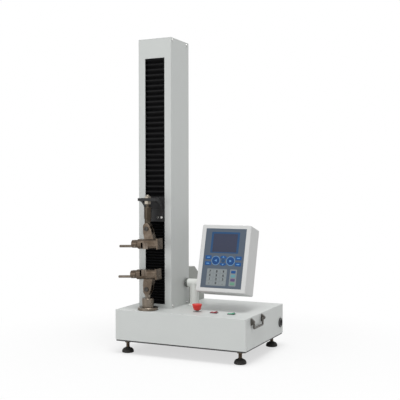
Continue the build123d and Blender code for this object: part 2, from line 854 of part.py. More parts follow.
with BuildPart() as crosshead_bracket:
    with Locations((column_x, (bracket_flange_front + bracket_back) / 2, crosshead_plate_bottom)):
        Box(
            crosshead_plate_width,
            bracket_flange_thickness,
            bracket_flange_height,
            align=(Align.CENTER, Align.CENTER, Align.MIN),
        )
    with Locations((column_x, bracket_front + bracket_shelf_depth / 2, bracket_plate_bottom)):
        Box(
            bracket_width,
            bracket_shelf_depth,
            bracket_plate_thickness,
            align=(Align.CENTER, Align.CENTER, Align.MIN),
        )
    for gusset_left in (column_x - bracket_width / 2, column_x + bracket_width / 2 - gusset_thickness):
        with BuildSketch(Plane.YZ.offset(gusset_left)):
            with BuildLine():
                Line((bracket_front, bracket_plate_bottom), (bracket_front, bracket_top))
                Line((bracket_front, bracket_top), (bracket_front + bracket_flat, bracket_top))
                TangentArc(
                    (bracket_front + bracket_flat, bracket_top), (bracket_flange_front, gusset_top_end), tangent=(1, 0)
                )
                Line((bracket_flange_front, gusset_top_end), (bracket_flange_front, gusset_low_end))
                TangentArc(
                    (bracket_flange_front, gusset_low_end), (bracket_front, bracket_plate_bottom), tangent=(0, 1)
                )
            make_face()
        extrude(amount=gusset_thickness)
    with BuildSketch(Plane.XY.offset(bracket_plate_bottom)):
        with Locations((column_x, clamp_y)):
            Circle(stud_diameter / 2 + running_gap)
    extrude(amount=bracket_plate_thickness, mode=Mode.SUBTRACT)
    with BuildSketch(Plane.XZ.offset(-bracket_flange_front)):
        with Locations(*[(column_x + x, crosshead_plate_bottom + bracket_bolt_rise) for x in bracket_bolt_offsets]):
            Circle(bracket_bolt_diameter / 2)
    extrude(amount=-bracket_flange_thickness, mode=Mode.SUBTRACT)
crosshead_bracket.part.label = "crosshead_bracket"
export_step(crosshead_bracket.part, "parts/crosshead_bracket.step")

with BuildPart() as bracket_bolts:
    with BuildSketch(Plane.XZ.offset(-bracket_flange_front)):
        with Locations(*[(column_x + x, crosshead_plate_bottom + bracket_bolt_rise) for x in bracket_bolt_offsets]):
            Circle(bracket_bolt_head / 2)
    extrude(amount=bracket_bolt_head_height)
    with BuildSketch(Plane.XZ.offset(-bracket_flange_front - bracket_bolt_head_height)):
        with Locations(*[(column_x + x, crosshead_plate_bottom + bracket_bolt_rise) for x in bracket_bolt_offsets]):
            RegularPolygon(bracket_bolt_head / 4, 6, major_radius=False)
    extrude(amount=-bracket_bolt_head_height / 2, mode=Mode.SUBTRACT)
    with BuildSketch(Plane.XZ.offset(-bracket_flange_front)):
        with Locations(*[(column_x + x, crosshead_plate_bottom + bracket_bolt_rise) for x in bracket_bolt_offsets]):
            Circle(bracket_bolt_diameter / 2)
    extrude(amount=-bracket_flange_thickness)
bracket_bolts.part.label = "bracket_bolts"
export_step(bracket_bolts.part, "parts/bracket_bolts.step")

# Upper adaptor: stud, body and a flat tang with the clevis hole
with BuildPart() as upper_adaptor:
    with BuildSketch(Plane.XY.offset(adaptor_top)):
        with Locations((column_x, clamp_y)):
            Circle(stud_diameter / 2)
    extrude(amount=stud_top - adaptor_top)
    with BuildSketch(Plane.XY.offset(adaptor_bottom + adaptor_shoulder)):
        with Locations((column_x, clamp_y)):
            Circle(adaptor_diameter / 2)
    extrude(amount=adaptor_height - adaptor_shoulder)
    chamfer(upper_adaptor.edges().filter_by(GeomType.CIRCLE).filter_by(
        lambda edge: abs(edge.radius - adaptor_diameter / 2) < 0.01), 1)
    with BuildSketch(Plane.XY.offset(adaptor_bottom)):
        with Locations((column_x, clamp_y)):
            Circle(adaptor_neck_diameter / 2)
    extrude(amount=adaptor_shoulder)
    with BuildSketch(Plane.XZ.offset(-clamp_y)):
        with Locations((column_x, (adaptor_bottom + upper_pin_z) / 2)):
            Rectangle(tang_width, adaptor_bottom - upper_pin_z)
        with Locations((column_x, upper_pin_z)):
            Circle(tang_width / 2)
            Circle(clevis_pin_diameter / 2 + running_gap, mode=Mode.SUBTRACT)
    extrude(amount=tang_thickness / 2, both=True)
upper_adaptor.part.label = "upper_adaptor"
export_step(upper_adaptor.part, "parts/upper_adaptor.step")

# Lock nut under the bracket plate and cap nut above it
with BuildPart() as adaptor_nuts:
    with BuildSketch(Plane.XY.offset(bracket_plate_bottom)):
        with Locations((column_x, clamp_y)):
            RegularPolygon(stud_nut_width / 2, 6, major_radius=False)
            Circle(stud_diameter / 2, mode=Mode.SUBTRACT)
    extrude(amount=-stud_nut_height)
    with BuildSketch(Plane.XY.offset(bracket_top)):
        with Locations((column_x, clamp_y)):
            RegularPolygon(stud_nut_width / 2, 6, major_radius=False)
            Circle(stud_diameter / 2, mode=Mode.SUBTRACT)
    extrude(amount=cap_nut_height)
    with Locations((column_x, clamp_y, stud_top)):
        Sphere(cap_nut_dome, arc_size1=0, align=(Align.CENTER, Align.CENTER, Align.MIN))
adaptor_nuts.part.label = "adaptor_nuts"
export_step(adaptor_nuts.part, "parts/adaptor_nuts.step")

# Seat of the lower clamp: spigot to the load cell, flange, drum, neck and tang
with BuildPart() as lower_clamp_seat:
    seat_steps = (
        (load_cell_top, base_top + panel_gap, seat_spigot_diameter),
        (base_top + panel_gap, base_top + seat_flange_thickness, seat_flange_diameter),
        (base_top + seat_flange_thickness, base_top + seat_height, seat_diameter),
        (base_top + seat_height, base_top + seat_height + seat_neck_height, seat_neck_diameter),
    )
    for step_bottom, step_top, step_diameter in seat_steps:
        with BuildSketch(Plane.XY.offset(step_bottom)):
            with Locations((column_x, clamp_y)):
                Circle(step_diameter / 2)
        extrude(amount=step_top - step_bottom)
    for rim_diameter in (seat_flange_diameter, seat_diameter):
        rim_edges = lower_clamp_seat.edges().filter_by(GeomType.CIRCLE).filter_by(
            lambda edge: abs(edge.radius - rim_diameter / 2) < 0.01
        )
        chamfer(rim_edges.sort_by(Axis.Z)[-1:], 1)
    with BuildSketch(Plane.XZ.offset(-clamp_y)):
        with Locations((column_x, (base_top + seat_height + seat_neck_height / 2 + lower_pin_z) / 2)):
            Rectangle(seat_neck_diameter, lower_pin_z - base_top - seat_height - seat_neck_height / 2)
        with Locations((column_x, lower_pin_z)):
            Circle(tang_width / 2)
            Circle(clevis_pin_diameter / 2 + running_gap, mode=Mode.SUBTRACT)
    extrude(amount=tang_thickness / 2, both=True)
lower_clamp_seat.part.label = "lower_clamp_seat"
export_step(lower_clamp_seat.part, "parts/lower_clamp_seat.step")

# Load cell: a bending beam with two joined bores
load_cell_mid = (load_cell_left + load_cell_right) / 2
load_cell_axis = load_cell_bottom + load_cell_height / 2

with BuildPart() as load_cell:
    with BuildSketch(Plane.XZ.offset(-clamp_y)):
        with Locations((load_cell_mid, load_cell_axis)):
            Rectangle(load_cell_length, load_cell_height)
            with GridLocations(load_cell_bore_spacing, 1, 2, 1):
                Circle(load_cell_bore / 2, mode=Mode.SUBTRACT)
            Rectangle(load_cell_bore_spacing, load_cell_bore / 3, mode=Mode.SUBTRACT)
    extrude(amount=load_cell_width / 2, both=True)
load_cell.part.label = "load_cell"
export_step(load_cell.part, "parts/load_cell.step")


# Clamps. The two are mirror images and differ in tilt. Their outline is drawn in a plane through
# the clevis pin: x along the body, y from the pin towards the body.
def clamp_plane(pin_z, towards_body, tilt):
    """Outline plane of a clamp whose left end hangs down by the tilt angle."""
    angle = math.radians(tilt)
    return Plane(
        origin=(column_x, clamp_y, pin_z),
        x_dir=(math.cos(angle), 0, math.sin(angle)),
        z_dir=(0, -towards_body, 0),
    )


def across(outline, x, height):
    """Plane square to the clamp's length, at x along it and at a height from the pin."""
    return Plane(
        origin=outline.from_local_coords((x, height, 0)), x_dir=outline.z_dir, z_dir=outline.x_dir
    )


clamps = {
    "upper": (clamp_plane(upper_pin_z, -1, upper_clamp_tilt), 1),
    "lower": (clamp_plane(lower_pin_z, 1, lower_clamp_tilt), -1),
}

for name, (outline, drop_sign) in clamps.items():
    pin_height = body_centre + drop_sign * lever_pin_drop
    body_far = body_centre + body_height / 2
    with BuildPart() as clamp_body:
        with BuildSketch(across(outline, -body_left, body_centre)):
            RectangleRounded(body_depth, body_height, body_edge_radius)
        extrude(amount=body_left + body_right - end_plate_thickness)
        with BuildSketch(across(outline, body_right - end_plate_thickness, body_centre)):
            Rectangle(body_depth, end_plate_height)
        extrude(amount=end_plate_thickness)
        with BuildSketch(outline):
            with BuildLine():
                Line((-lug_radius, -lug_centre), (-lug_radius, lug_flank))
                Line((-lug_radius, lug_flank), (lug_inner_waist - lug_radius, yoke_length))
                Line((lug_inner_waist - lug_radius, yoke_length), (lug_outer_base, yoke_length))
                Line((lug_outer_base, yoke_length), (lug_radius + lug_outer_flare, 0))
                Line((lug_radius + lug_outer_flare, 0), (lug_radius, -lug_centre))
                ThreePointArc((lug_radius, -lug_centre), (0, -lug_centre - lug_radius), (-lug_radius, -lug_centre))
            make_face()
        extrude(amount=fork_depth / 2, both=True)
        with BuildSketch(outline):
            with Locations((0, (fork_root - 2 * lug_radius) / 2)):
                Rectangle(4 * lug_radius, fork_root + 2 * lug_radius)
        extrude(amount=tang_thickness / 2 + free_gap, both=True, mode=Mode.SUBTRACT)
        with BuildSketch(outline):
            Circle(clevis_pin_diameter / 2)
        extrude(amount=fork_depth / 2, both=True, mode=Mode.SUBTRACT)
        with BuildSketch(across(outline, -body_left - boss_length, body_centre)):
            Circle(boss_diameter / 2)
        extrude(amount=boss_length)
        with BuildSketch(across(outline, -body_left - boss_length - handle_head_length, body_centre)):
            Circle(handle_head_diameter / 2)
        extrude(amount=handle_head_length)
        with BuildSketch(outline):
            with Locations((
                (jaw_slot_right - jaw_slot_left) / 2,
                (body_centre - body_height / 2 + jaw_bridge + body_far + 1) / 2,
            )):
                Rectangle(jaw_slot_left + jaw_slot_right, body_height - jaw_bridge + 1)
        extrude(amount=body_depth / 2 + 1, both=True, mode=Mode.SUBTRACT)
        with BuildSketch(across(outline, -lever_slot_start - 1, body_centre)):
            Circle(plunger_diameter / 2 + running_gap)
        extrude(amount=lever_slot_start + 1 - jaw_plate_thickness, mode=Mode.SUBTRACT)
        with BuildSketch(outline):
            with Locations((-lever_slot_start - handle_head_length / 2, body_centre)):
                Rectangle(handle_head_length, 2 * handle_head_diameter)
        extrude(amount=lever_slot / 2, both=True, mode=Mode.SUBTRACT)
        with BuildSketch(outline):
            with Locations((-lever_pin_x, pin_height)):
                Circle(lever_pin_diameter / 2 + running_gap)
        extrude(amount=handle_head_diameter / 2, both=True, mode=Mode.SUBTRACT)
    clamp_body.part.label = f"{name}_clamp_body"
    export_step(clamp_body.part, f"parts/{name}_clamp_body.step")

    # Clevis pin with its head at the front
    pin_plane = Plane(origin=(column_x, clamp_y - fork_depth / 2, outline.origin.Z), z_dir=(0, -1, 0))
    with BuildPart() as clamp_pin:
        with BuildSketch(pin_plane):
            Circle(clevis_pin_head / 2)
        extrude(amount=clevis_pin_head_height)
        with BuildSketch(pin_plane.offset(clevis_pin_head_height)):
            RegularPolygon(clevis_pin_head / 4, 6, major_radius=False)
        extrude(amount=-clevis_pin_head_height / 2, mode=Mode.SUBTRACT)
        with BuildSketch(pin_plane):
            Circle(clevis_pin_diameter / 2)
        extrude(amount=-fork_depth - 1)
    clamp_pin.part.label = f"{name}_clamp_pin"
    export_step(clamp_pin.part, f"parts/{name}_clamp_pin.step")

    # Jaws: the fixed one against the body, the moving one on its plunger
    jaw_centre = body_far - jaw_height / 2
    with BuildPart() as fixed_jaw:
        with BuildSketch(across(outline, jaw_gap / 2, jaw_centre)):
            Rectangle(jaw_depth, jaw_height)
        extrude(amount=jaw_slot_right - jaw_gap / 2)
    fixed_jaw.part.label = f"{name}_fixed_jaw"
    export_step(fixed_jaw.part, f"parts/{name}_fixed_jaw.step")

    with BuildPart() as moving_jaw:
        with BuildSketch(across(outline, -jaw_gap / 2 - jaw_plate_thickness, jaw_centre)):
            Rectangle(jaw_depth, jaw_height)
        extrude(amount=jaw_plate_thickness)
        with BuildSketch(across(outline, -plunger_shoulder, body_centre)):
            Circle(plunger_diameter / 2)
        extrude(amount=plunger_shoulder - jaw_plate_thickness)
        with BuildSketch(across(outline, -plunger_end, body_centre)):
            Circle(plunger_tip_diameter / 2)
        extrude(amount=plunger_end - plunger_shoulder)
    moving_jaw.part.label = f"{name}_moving_jaw"
    export_step(moving_jaw.part, f"parts/{name}_moving_jaw.step")

    # Hand lever: hub on its trunnions, nose on the plunger, rod to the left
    with BuildPart() as clamp_lever:
        with BuildSketch(outline):
            with Locations((-lever_pin_x, pin_height)):
                Circle(lever_hub_radius)
            with Locations((-lever_pin_x + lever_nose_x, body_centre)):
                Circle(lever_nose_radius)
            make_hull()
        extrude(amount=lever_hub_width / 2, both=True)
        with BuildSketch(across(outline, -lever_reach, pin_height)):
            Circle(lever_rod_diameter / 2)
        extrude(amount=lever_reach - lever_pin_x)
        fillet(clamp_lever.edges().filter_by(GeomType.CIRCLE).sort_by(Axis.X)[0], lever_rod_diameter / 4)
        with BuildSketch(outline):
            with Locations((-lever_pin_x, pin_height)):
                Circle(lever_pin_diameter / 2)
        extrude(amount=lever_trunnion / 2, both=True)
    clamp_lever.part.label = f"{name}_clamp_lever"
    export_step(clamp_lever.part, f"parts/{name}_clamp_lever.step")

# Post of the control box and the fitting on its top: a barrel with the hinge shaft
with BuildPart() as control_post:
    with BuildSketch(Plane.XY.offset(base_top)):
        with Locations((post_x, post_y)):
            Circle(post_collar_diameter / 2)
    extrude(amount=post_collar_height)
    chamfer(control_post.faces().sort_by(Axis.Z)[-1].edges(), post_collar_height / 3)
    with BuildSketch(Plane.XY.offset(base_top + post_collar_height)):
        with Locations((post_x, post_y)):
            Circle(post_diameter / 2)
    extrude(amount=hinge_rise - post_collar_height)
    with Locations((post_x, post_y, hinge_z)):
        Cylinder(barrel_diameter / 2, 2 * post_diameter, rotation=(0, 90, 0), mode=Mode.SUBTRACT)
control_post.part.label = "control_post"
export_step(control_post.part, "parts/control_post.step")

barrel_start = post_x - barrel_left
barrel_end = post_x + barrel_right
shaft_end = box_left + box_width - hinge_lug_inset + 1

with BuildPart() as hinge_barrel:
    with BuildSketch(Plane.YZ.offset(barrel_start)):
        with Locations((post_y, hinge_z)):
            Circle(barrel_diameter / 2)
    extrude(amount=barrel_end - barrel_start)
    chamfer(hinge_barrel.edges().filter_by(GeomType.CIRCLE), 1)
    with BuildSketch(Plane.YZ.offset(barrel_end)):
        with Locations((post_y, hinge_z)):
            Circle(hinge_shaft_diameter / 2)
    extrude(amount=shaft_end - barrel_end)
    with BuildSketch(Plane.YZ.offset(barrel_start)):
        with Locations((post_y, hinge_z)):
            Circle(tilt_knob_stub / 2 + running_gap)
    extrude(amount=tilt_knob_stub_length + free_gap, mode=Mode.SUBTRACT)
hinge_barrel.part.label = "hinge_barrel"
export_step(hinge_barrel.part, "parts/hinge_barrel.step")

with BuildPart() as tilt_knob:
    with BuildSketch(Plane.YZ.offset(barrel_start - free_gap)):
        with Locations((post_y, hinge_z)):
            Circle(tilt_knob_diameter / 2)
            with PolarLocations(tilt_knob_diameter / 2 + 1, 12):
                Circle(1.8, mode=Mode.SUBTRACT)
    extrude(amount=-tilt_knob_length)
    with BuildSketch(Plane.YZ.offset(barrel_start - free_gap)):
        with Locations((post_y, hinge_z)):
            Circle(tilt_knob_stub / 2)
    extrude(amount=tilt_knob_stub_length + free_gap)
tilt_knob.part.label = "tilt_knob"
export_step(tilt_knob.part, "parts/tilt_knob.step")

# Control box. Its plane lies in the front face: x to the right, y up the face, z to the viewer.
tilt = math.radians(box_tilt)
box_face = Plane(
    origin=(box_x, box_front_y, box_front_z),
    x_dir=(1, 0, 0),
    z_dir=(0, -math.cos(tilt), math.sin(tilt)),
)
hinge_local = box_face.to_local_coords(Vector(box_x, post_y, hinge_z))
keypad_centre = keypad_bottom + keypad_length / 2

with BuildPart() as control_box_shell:
    with BuildSketch(box_face.offset(-bezel_depth)):
        with Locations((0, box_length / 2)):
            RectangleRounded(box_width, box_length, box_corner_radius)
    extrude(amount=-(box_thickness - bezel_depth))
    back_face = control_box_shell.faces().sort_by(Axis(box_face.origin, box_face.z_dir))[0]
    fillet(back_face.edges(), box_corner_radius)
    with BuildSketch(box_face.offset(-bezel_depth)):
        with Locations((0, box_length / 2)):
            RectangleRounded(box_width - 2 * box_wall, box_length - 2 * box_wall, box_corner_radius / 2)
    extrude(amount=-(box_thickness - bezel_depth - box_wall), mode=Mode.SUBTRACT)
    with BuildSketch(box_face.offset(-box_thickness)):
        with Locations((0, box_length * 0.68)):
            with GridLocations(1, vent_pitch, 1, vent_count):
                SlotOverall(vent_width, vent_height)
    extrude(amount=box_wall, mode=Mode.SUBTRACT)
    for lug_side in (-1, 1):
        lug_x = lug_side * (box_width / 2 - hinge_lug_inset - hinge_lug_width / 2)
        lug_plane = Plane(
            origin=box_face.from_local_coords((lug_x, hinge_local.Y, -box_thickness)),
            x_dir=-box_face.z_dir,
            z_dir=(1, 0, 0),
        )
        hinge_distance = -box_thickness - hinge_local.Z
        with BuildSketch(lug_plane):
            with Locations((hinge_distance, 0)):
                Circle(hinge_lug_radius)
            with Locations((0.5, 0)):
                Rectangle(1, 2.6 * hinge_lug_radius)
            make_hull()
        extrude(amount=hinge_lug_width / 2, both=True)
        with BuildSketch(lug_plane):
            with Locations((hinge_distance, 0)):
                Circle(hinge_shaft_diameter / 2 + running_gap)
        extrude(amount=hinge_lug_width, both=True, mode=Mode.SUBTRACT)
control_box_shell.part.label = "control_box_shell"
export_step(control_box_shell.part, "parts/control_box_shell.step")

with BuildPart() as control_box_bezel:
    with BuildSketch(box_face):
        with Locations((0, box_length / 2)):
            RectangleRounded(box_width, box_length, box_corner_radius)
        with Locations((0, keypad_centre)):
            Rectangle(keypad_width - 2 * keypad_ledge, keypad_length - 2 * keypad_ledge, mode=Mode.SUBTRACT)
    extrude(amount=-bezel_depth)
    with BuildSketch(box_face):
        with Locations((0, keypad_centre)):
            Rectangle(keypad_width, keypad_length)
    extrude(amount=-keypad_thickness, mode=Mode.SUBTRACT)
    front_edges = control_box_bezel.faces().sort_by(Axis(box_face.origin, box_face.z_dir))[-1].outer_wire().edges()
    fillet(front_edges, box_corner_radius / 2)
control_box_bezel.part.label = "control_box_bezel"
export_step(control_box_bezel.part, "parts/control_box_bezel.step")

with BuildPart() as keypad_membrane:
    with BuildSketch(box_face):
        with Locations((0, keypad_centre)):
            Rectangle(keypad_width, keypad_length)
        with Locations((0, display_centre)):
            Rectangle(display_window_width, display_window_height, mode=Mode.SUBTRACT)
    extrude(amount=-keypad_thickness)
keypad_membrane.part.label = "keypad_membrane"
export_step(keypad_membrane.part, "parts/keypad_membrane.step")

with BuildPart() as display:
    with BuildSketch(box_face.offset(-keypad_thickness)):
        with Locations((0, display_centre)):
            Rectangle(display_window_width + 2 * display_border, display_window_height + 2 * display_border)
    extrude(amount=-display_depth)
display.part.label = "display"
export_step(display.part, "parts/display.step")

with BuildPart() as control_board:
    with BuildSketch(box_face.offset(-keypad_thickness - display_depth)):
        with Locations((0, keypad_centre)):
            Rectangle(board_width, board_length)
    extrude(amount=-board_thickness)
control_board.part.label = "control_board"
export_step(control_board.part, "parts/control_board.step")

# Emergency stop: ring and body in the panel, mushroom head on its stem
with BuildPart() as estop_body:
    with BuildSketch(Plane.XY.offset(base_top)):
        with Locations((estop_x, controls_y)):
            Circle(estop_ring_diameter / 2)
    extrude(amount=estop_ring_height)
    with BuildSketch(Plane.XY.offset(base_top)):
        with Locations((estop_x, controls_y)):
            Circle(estop_body_diameter / 2)
    extrude(amount=-estop_body_depth)
    with BuildSketch(Plane.XY.offset(base_top + estop_ring_height)):
        with Locations((estop_x, controls_y)):
            Circle(estop_stem_diameter / 2 + running_gap)
    extrude(amount=-(estop_ring_height + 2 * estop_stem_reach), mode=Mode.SUBTRACT)
estop_body.part.label = "estop_body"
export_step(estop_body.part, "parts/estop_body.step")

with BuildPart() as estop_button:
    with BuildSketch(Plane.XZ.offset(-controls_y)):
        with BuildLine():
            Polyline(
                (estop_x, base_top - estop_stem_reach),
                (estop_x + estop_stem_diameter / 2, base_top - estop_stem_reach),
                (estop_x + estop_stem_diameter / 2, base_top + estop_head_bottom),
                (estop_x + estop_neck_diameter / 2, base_top + estop_head_bottom),
                (estop_x + estop_head_diameter / 2 - 1, base_top + estop_head_bottom + estop_head_height - 4),
            )
            ThreePointArc(
                (estop_x + estop_head_diameter / 2 - 1, base_top + estop_head_bottom + estop_head_height - 4),
                (estop_x + estop_head_diameter / 2, base_top + estop_head_bottom + estop_head_height - 2.5),
                (estop_x + estop_head_diameter / 2 - 2, base_top + estop_head_bottom + estop_head_height - 1),
            )
            ThreePointArc(
                (estop_x + estop_head_diameter / 2 - 2, base_top + estop_head_bottom + estop_head_height - 1),
                (estop_x + estop_head_diameter / 3, base_top + estop_head_bottom + estop_head_height - 0.3),
                (estop_x + estop_head_diameter / 6, base_top + estop_head_bottom + estop_head_height),
            )
            Polyline(
                (estop_x + estop_head_diameter / 6, base_top + estop_head_bottom + estop_head_height),
                (estop_x, base_top + estop_head_bottom + estop_head_height),
                (estop_x, base_top - estop_stem_reach),
            )
        make_face()
    revolve(axis=Axis((estop_x, controls_y, 0), (0, 0, 1)))
estop_button.part.label = "estop_button"
export_step(estop_button.part, "parts/estop_button.step")

# Two rocker switches: bezel and body in the panel, rocker on its middle line
switch_places = [(red_switch_x, controls_y), (green_switch_x, controls_y)]
rocker_width = switch_width - 2 * switch_rim
rocker_depth = switch_depth - 2 * switch_rim

with BuildPart() as switch_bodies:
    with BuildSketch(Plane.XY.offset(base_top)):
        with Locations(*switch_places):
            RectangleRounded(switch_width, switch_depth, 1.5)
    extrude(amount=switch_bezel_height)
    with BuildSketch(Plane.XY.offset(base_top)):
        with Locations(*switch_places):
            Rectangle(switch_width - 2, switch_depth - 2)
    extrude(amount=-switch_body_depth)
    with BuildSketch(Plane.XY.offset(base_top + switch_bezel_height)):
        with Locations(*switch_places):
            Rectangle(rocker_width + 2 * free_gap, rocker_depth + 2 * free_gap)
    extrude(amount=-switch_pocket_depth, mode=Mode.SUBTRACT)
switch_bodies.part.label = "switch_bodies"
export_step(switch_bodies.part, "parts/switch_bodies.step")

for colour, rocker_x in (("red", red_switch_x), ("green", green_switch_x)):
    turn = math.radians(rocker_tilt)
    rocker_plane = Plane(
        origin=(rocker_x, controls_y, base_top + rocker_pivot_rise),
        x_dir=(math.cos(turn), 0, math.sin(turn)),
        z_dir=(0, -1, 0),
    )
    with BuildPart() as rocker:
        with BuildSketch(rocker_plane):
            with BuildLine():
                Polyline(
                    (-rocker_width / 2 + 2, -rocker_keel),
                    (rocker_width / 2 - 2, -rocker_keel),
                    (rocker_width / 2 - 0.4, 0),
                    (rocker_width / 2 - 0.4, rocker_height),
                )
                ThreePointArc(
                    (rocker_width / 2 - 0.4, rocker_height),
                    (0, rocker_height - rocker_dip),
                    (-rocker_width / 2 + 0.4, rocker_height),
                )
                Polyline(
                    (-rocker_width / 2 + 0.4, rocker_height),
                    (-rocker_width / 2 + 0.4, 0),
                    (-rocker_width / 2 + 2, -rocker_keel),
                )
            make_face()
        extrude(amount=rocker_depth / 2, both=True)
    rocker.part.label = f"{colour}_rocker"
    export_step(rocker.part, f"parts/{colour}_rocker.step")

# Folding side handles: an ear at each end of a wire bail, on both sides of the base
handle_x = base_width / 2 + handle_standoff
handle_y = -base_depth / 2 + handle_front_inset
handle_z = base_top - handle_top_drop
ear_centres = [handle_y + end * (handle_pitch / 2) for end in (-1, 1)]

with BuildPart() as handle_ears:
    for side in (-1, 1):
        for ear_y in ear_centres:
            with BuildSketch(Plane.XZ.offset(-ear_y)):
                with Locations((side * handle_x, handle_z)):
                    Circle(handle_ear_diameter / 2)
                with Locations((side * (base_width / 2 + handle_ear_plate / 2), handle_z)):
                    Rectangle(handle_ear_plate, 2 * handle_ear_diameter)
                make_hull()
                with Locations((side * handle_x, handle_z)):
                    Circle(handle_wire / 2 + running_gap, mode=Mode.SUBTRACT)
            extrude(amount=handle_ear_length / 2, both=True)
handle_ears.part.label = "handle_ears"
export_step(handle_ears.part, "parts/handle_ears.step")

for side_name, side in (("left", -1), ("right", 1)):
    leg = handle_pitch / 2 - handle_ear_length / 2 - handle_wire / 2 - free_gap
    bail_path_points = [
        (handle_y - handle_pitch / 2 - handle_ear_length / 2, handle_z),
        (handle_y - leg, handle_z),
        (handle_y - leg, handle_z - handle_drop),
        (handle_y + leg, handle_z - handle_drop),
        (handle_y + leg, handle_z),
        (handle_y + handle_pitch / 2 + handle_ear_length / 2, handle_z),
    ]
    with BuildPart() as bail:
        with BuildLine(Plane.YZ.offset(side * handle_x)) as bail_path:
            FilletPolyline(*bail_path_points, radius=handle_wire / 2 + 0.1)
        with BuildSketch(Plane(origin=bail_path.line @ 0, z_dir=bail_path.line % 0)):
            Circle(handle_wire / 2)
        sweep()
    bail.part.label = f"side_handle_{side_name}"
    export_step(bail.part, f"parts/side_handle_{side_name}.step")

# Round inlet with three contact pins in a shallow recess
inlet_face = Plane.YZ.offset(base_width / 2)

with BuildPart() as power_inlet:
    with BuildSketch(inlet_face):
        with Locations((inlet_y, inlet_z)):
            Circle(inlet_flange_diameter / 2)
    extrude(amount=inlet_flange_height)
    chamfer(power_inlet.faces().sort_by(Axis.X)[-1].edges(), 0.8)
    with BuildSketch(inlet_face):
        with Locations((inlet_y, inlet_z)):
            Circle(inlet_body_diameter / 2)
    extrude(amount=-inlet_body_depth)
    with BuildSketch(inlet_face.offset(inlet_flange_height)):
        with Locations((inlet_y, inlet_z)):
            Circle(inlet_recess_diameter / 2)
            with PolarLocations(inlet_pin_circle / 2, 3, start_angle=90):
                Circle(inlet_pin_diameter / 2, mode=Mode.SUBTRACT)
    extrude(amount=-inlet_recess_depth, mode=Mode.SUBTRACT)
power_inlet.part.label = "power_inlet"
export_step(power_inlet.part, "parts/power_inlet.step")
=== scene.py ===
"""Finished look of the skein strength tester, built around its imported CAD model.

Metres, X to the right, Y to the back, Z up, as in the CAD. Lengths written with MM are millimetres.
"""
import json
import math

import bmesh
import bpy
from mathutils import Matrix, Vector


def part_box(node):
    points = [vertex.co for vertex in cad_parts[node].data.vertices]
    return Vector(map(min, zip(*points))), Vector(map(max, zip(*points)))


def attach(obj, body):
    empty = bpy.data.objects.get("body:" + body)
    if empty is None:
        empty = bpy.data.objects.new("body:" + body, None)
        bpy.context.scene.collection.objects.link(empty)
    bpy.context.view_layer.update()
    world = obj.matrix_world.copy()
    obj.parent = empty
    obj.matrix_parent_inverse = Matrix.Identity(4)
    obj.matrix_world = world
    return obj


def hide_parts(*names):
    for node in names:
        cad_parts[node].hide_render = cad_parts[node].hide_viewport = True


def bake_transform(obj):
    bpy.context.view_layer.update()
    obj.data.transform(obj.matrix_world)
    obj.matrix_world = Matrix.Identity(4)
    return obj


MM = 0.001

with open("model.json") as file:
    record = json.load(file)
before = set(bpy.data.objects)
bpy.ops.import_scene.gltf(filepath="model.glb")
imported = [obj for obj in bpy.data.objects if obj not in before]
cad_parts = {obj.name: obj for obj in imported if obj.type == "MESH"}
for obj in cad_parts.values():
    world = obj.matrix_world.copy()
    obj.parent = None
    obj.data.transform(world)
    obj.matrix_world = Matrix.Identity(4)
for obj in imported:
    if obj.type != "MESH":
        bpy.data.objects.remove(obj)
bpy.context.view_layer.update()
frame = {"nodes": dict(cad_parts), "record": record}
nodes = frame["nodes"]
body_of_node = {
    node: body for body, members in frame["record"]["behaviour"]["bodies"].items() for node in members
}

# Places shared by several pieces
COLUMN_X = -111.5 * MM
BASE_TOP = 125 * MM
BELLOWS_FRONT = -72.7 * MM
BOX_TILT = math.radians(15.75)
FOOT_PLACES = [(x * MM, y * MM) for x in (-174, 174) for y in (-124, 124)]


def srgb(red, green, blue):
    """Linear colour of an 8-bit screen colour."""
    channels = []
    for value in (red, green, blue):
        value = value / 255
        channels.append(value / 12.92 if value <= 0.04045 else ((value + 0.055) / 1.055) ** 2.4)
    return (*channels, 1.0)


def toned(colour, factor, lift=0):
    """Linear colour of a screen colour made paler or darker."""
    return srgb(*[min(255, channel * factor + lift) for channel in colour])


def oil_and_shade_tone(colour, depth):
    """Linear colour of the same metal, darker and browner: for old oil stains and for painted shade."""
    return srgb(colour[0] * depth, colour[1] * depth * 0.9, colour[2] * depth * 0.775)


# Shader nodes
class Signal:
    """A shader output. Arithmetic on signals adds the Math nodes that work it out."""

    def __init__(self, shading, socket):
        self.shading = shading
        self.socket = socket

    def __add__(self, other):
        return self.shading.math("ADD", self, other)

    __radd__ = __add__

    def __sub__(self, other):
        return self.shading.math("SUBTRACT", self, other)

    def __rsub__(self, other):
        return self.shading.math("SUBTRACT", other, self)

    def __mul__(self, other):
        return self.shading.math("MULTIPLY", self, other)

    __rmul__ = __mul__


class Shading:
    """The node tree of a material or a world, built up by method calls."""

    def __init__(self, tree):
        self.tree = tree

    def node(self, kind, settings=None, inputs=None, output=0):
        """Adds a node: its settings first, then the values or signals of its sockets."""
        made = self.tree.nodes.new(kind)
        for label, value in (settings or {}).items():
            if label == "stops":
                ramp = made.color_ramp
                for index, (position, level) in enumerate(value):
                    stop = ramp.elements[index] if index < 2 else ramp.elements.new(position)
                    stop.position = position
                    stop.color = (level, level, level, 1)
            else:
                setattr(made, label, value)
        for label, value in (inputs or {}).items():
            self.feed(made.inputs[label], value)
        return Signal(self, made.outputs[output])

    def feed(self, socket, value):
        """Links a signal to a socket, or sets the socket to a plain value."""
        if isinstance(value, Signal):
            self.tree.links.new(value.socket, socket)
        else:
            socket.default_value = value

    def math(self, operation, first, second):
        return self.node("ShaderNodeMath", {"operation": operation}, {0: first, 1: second})


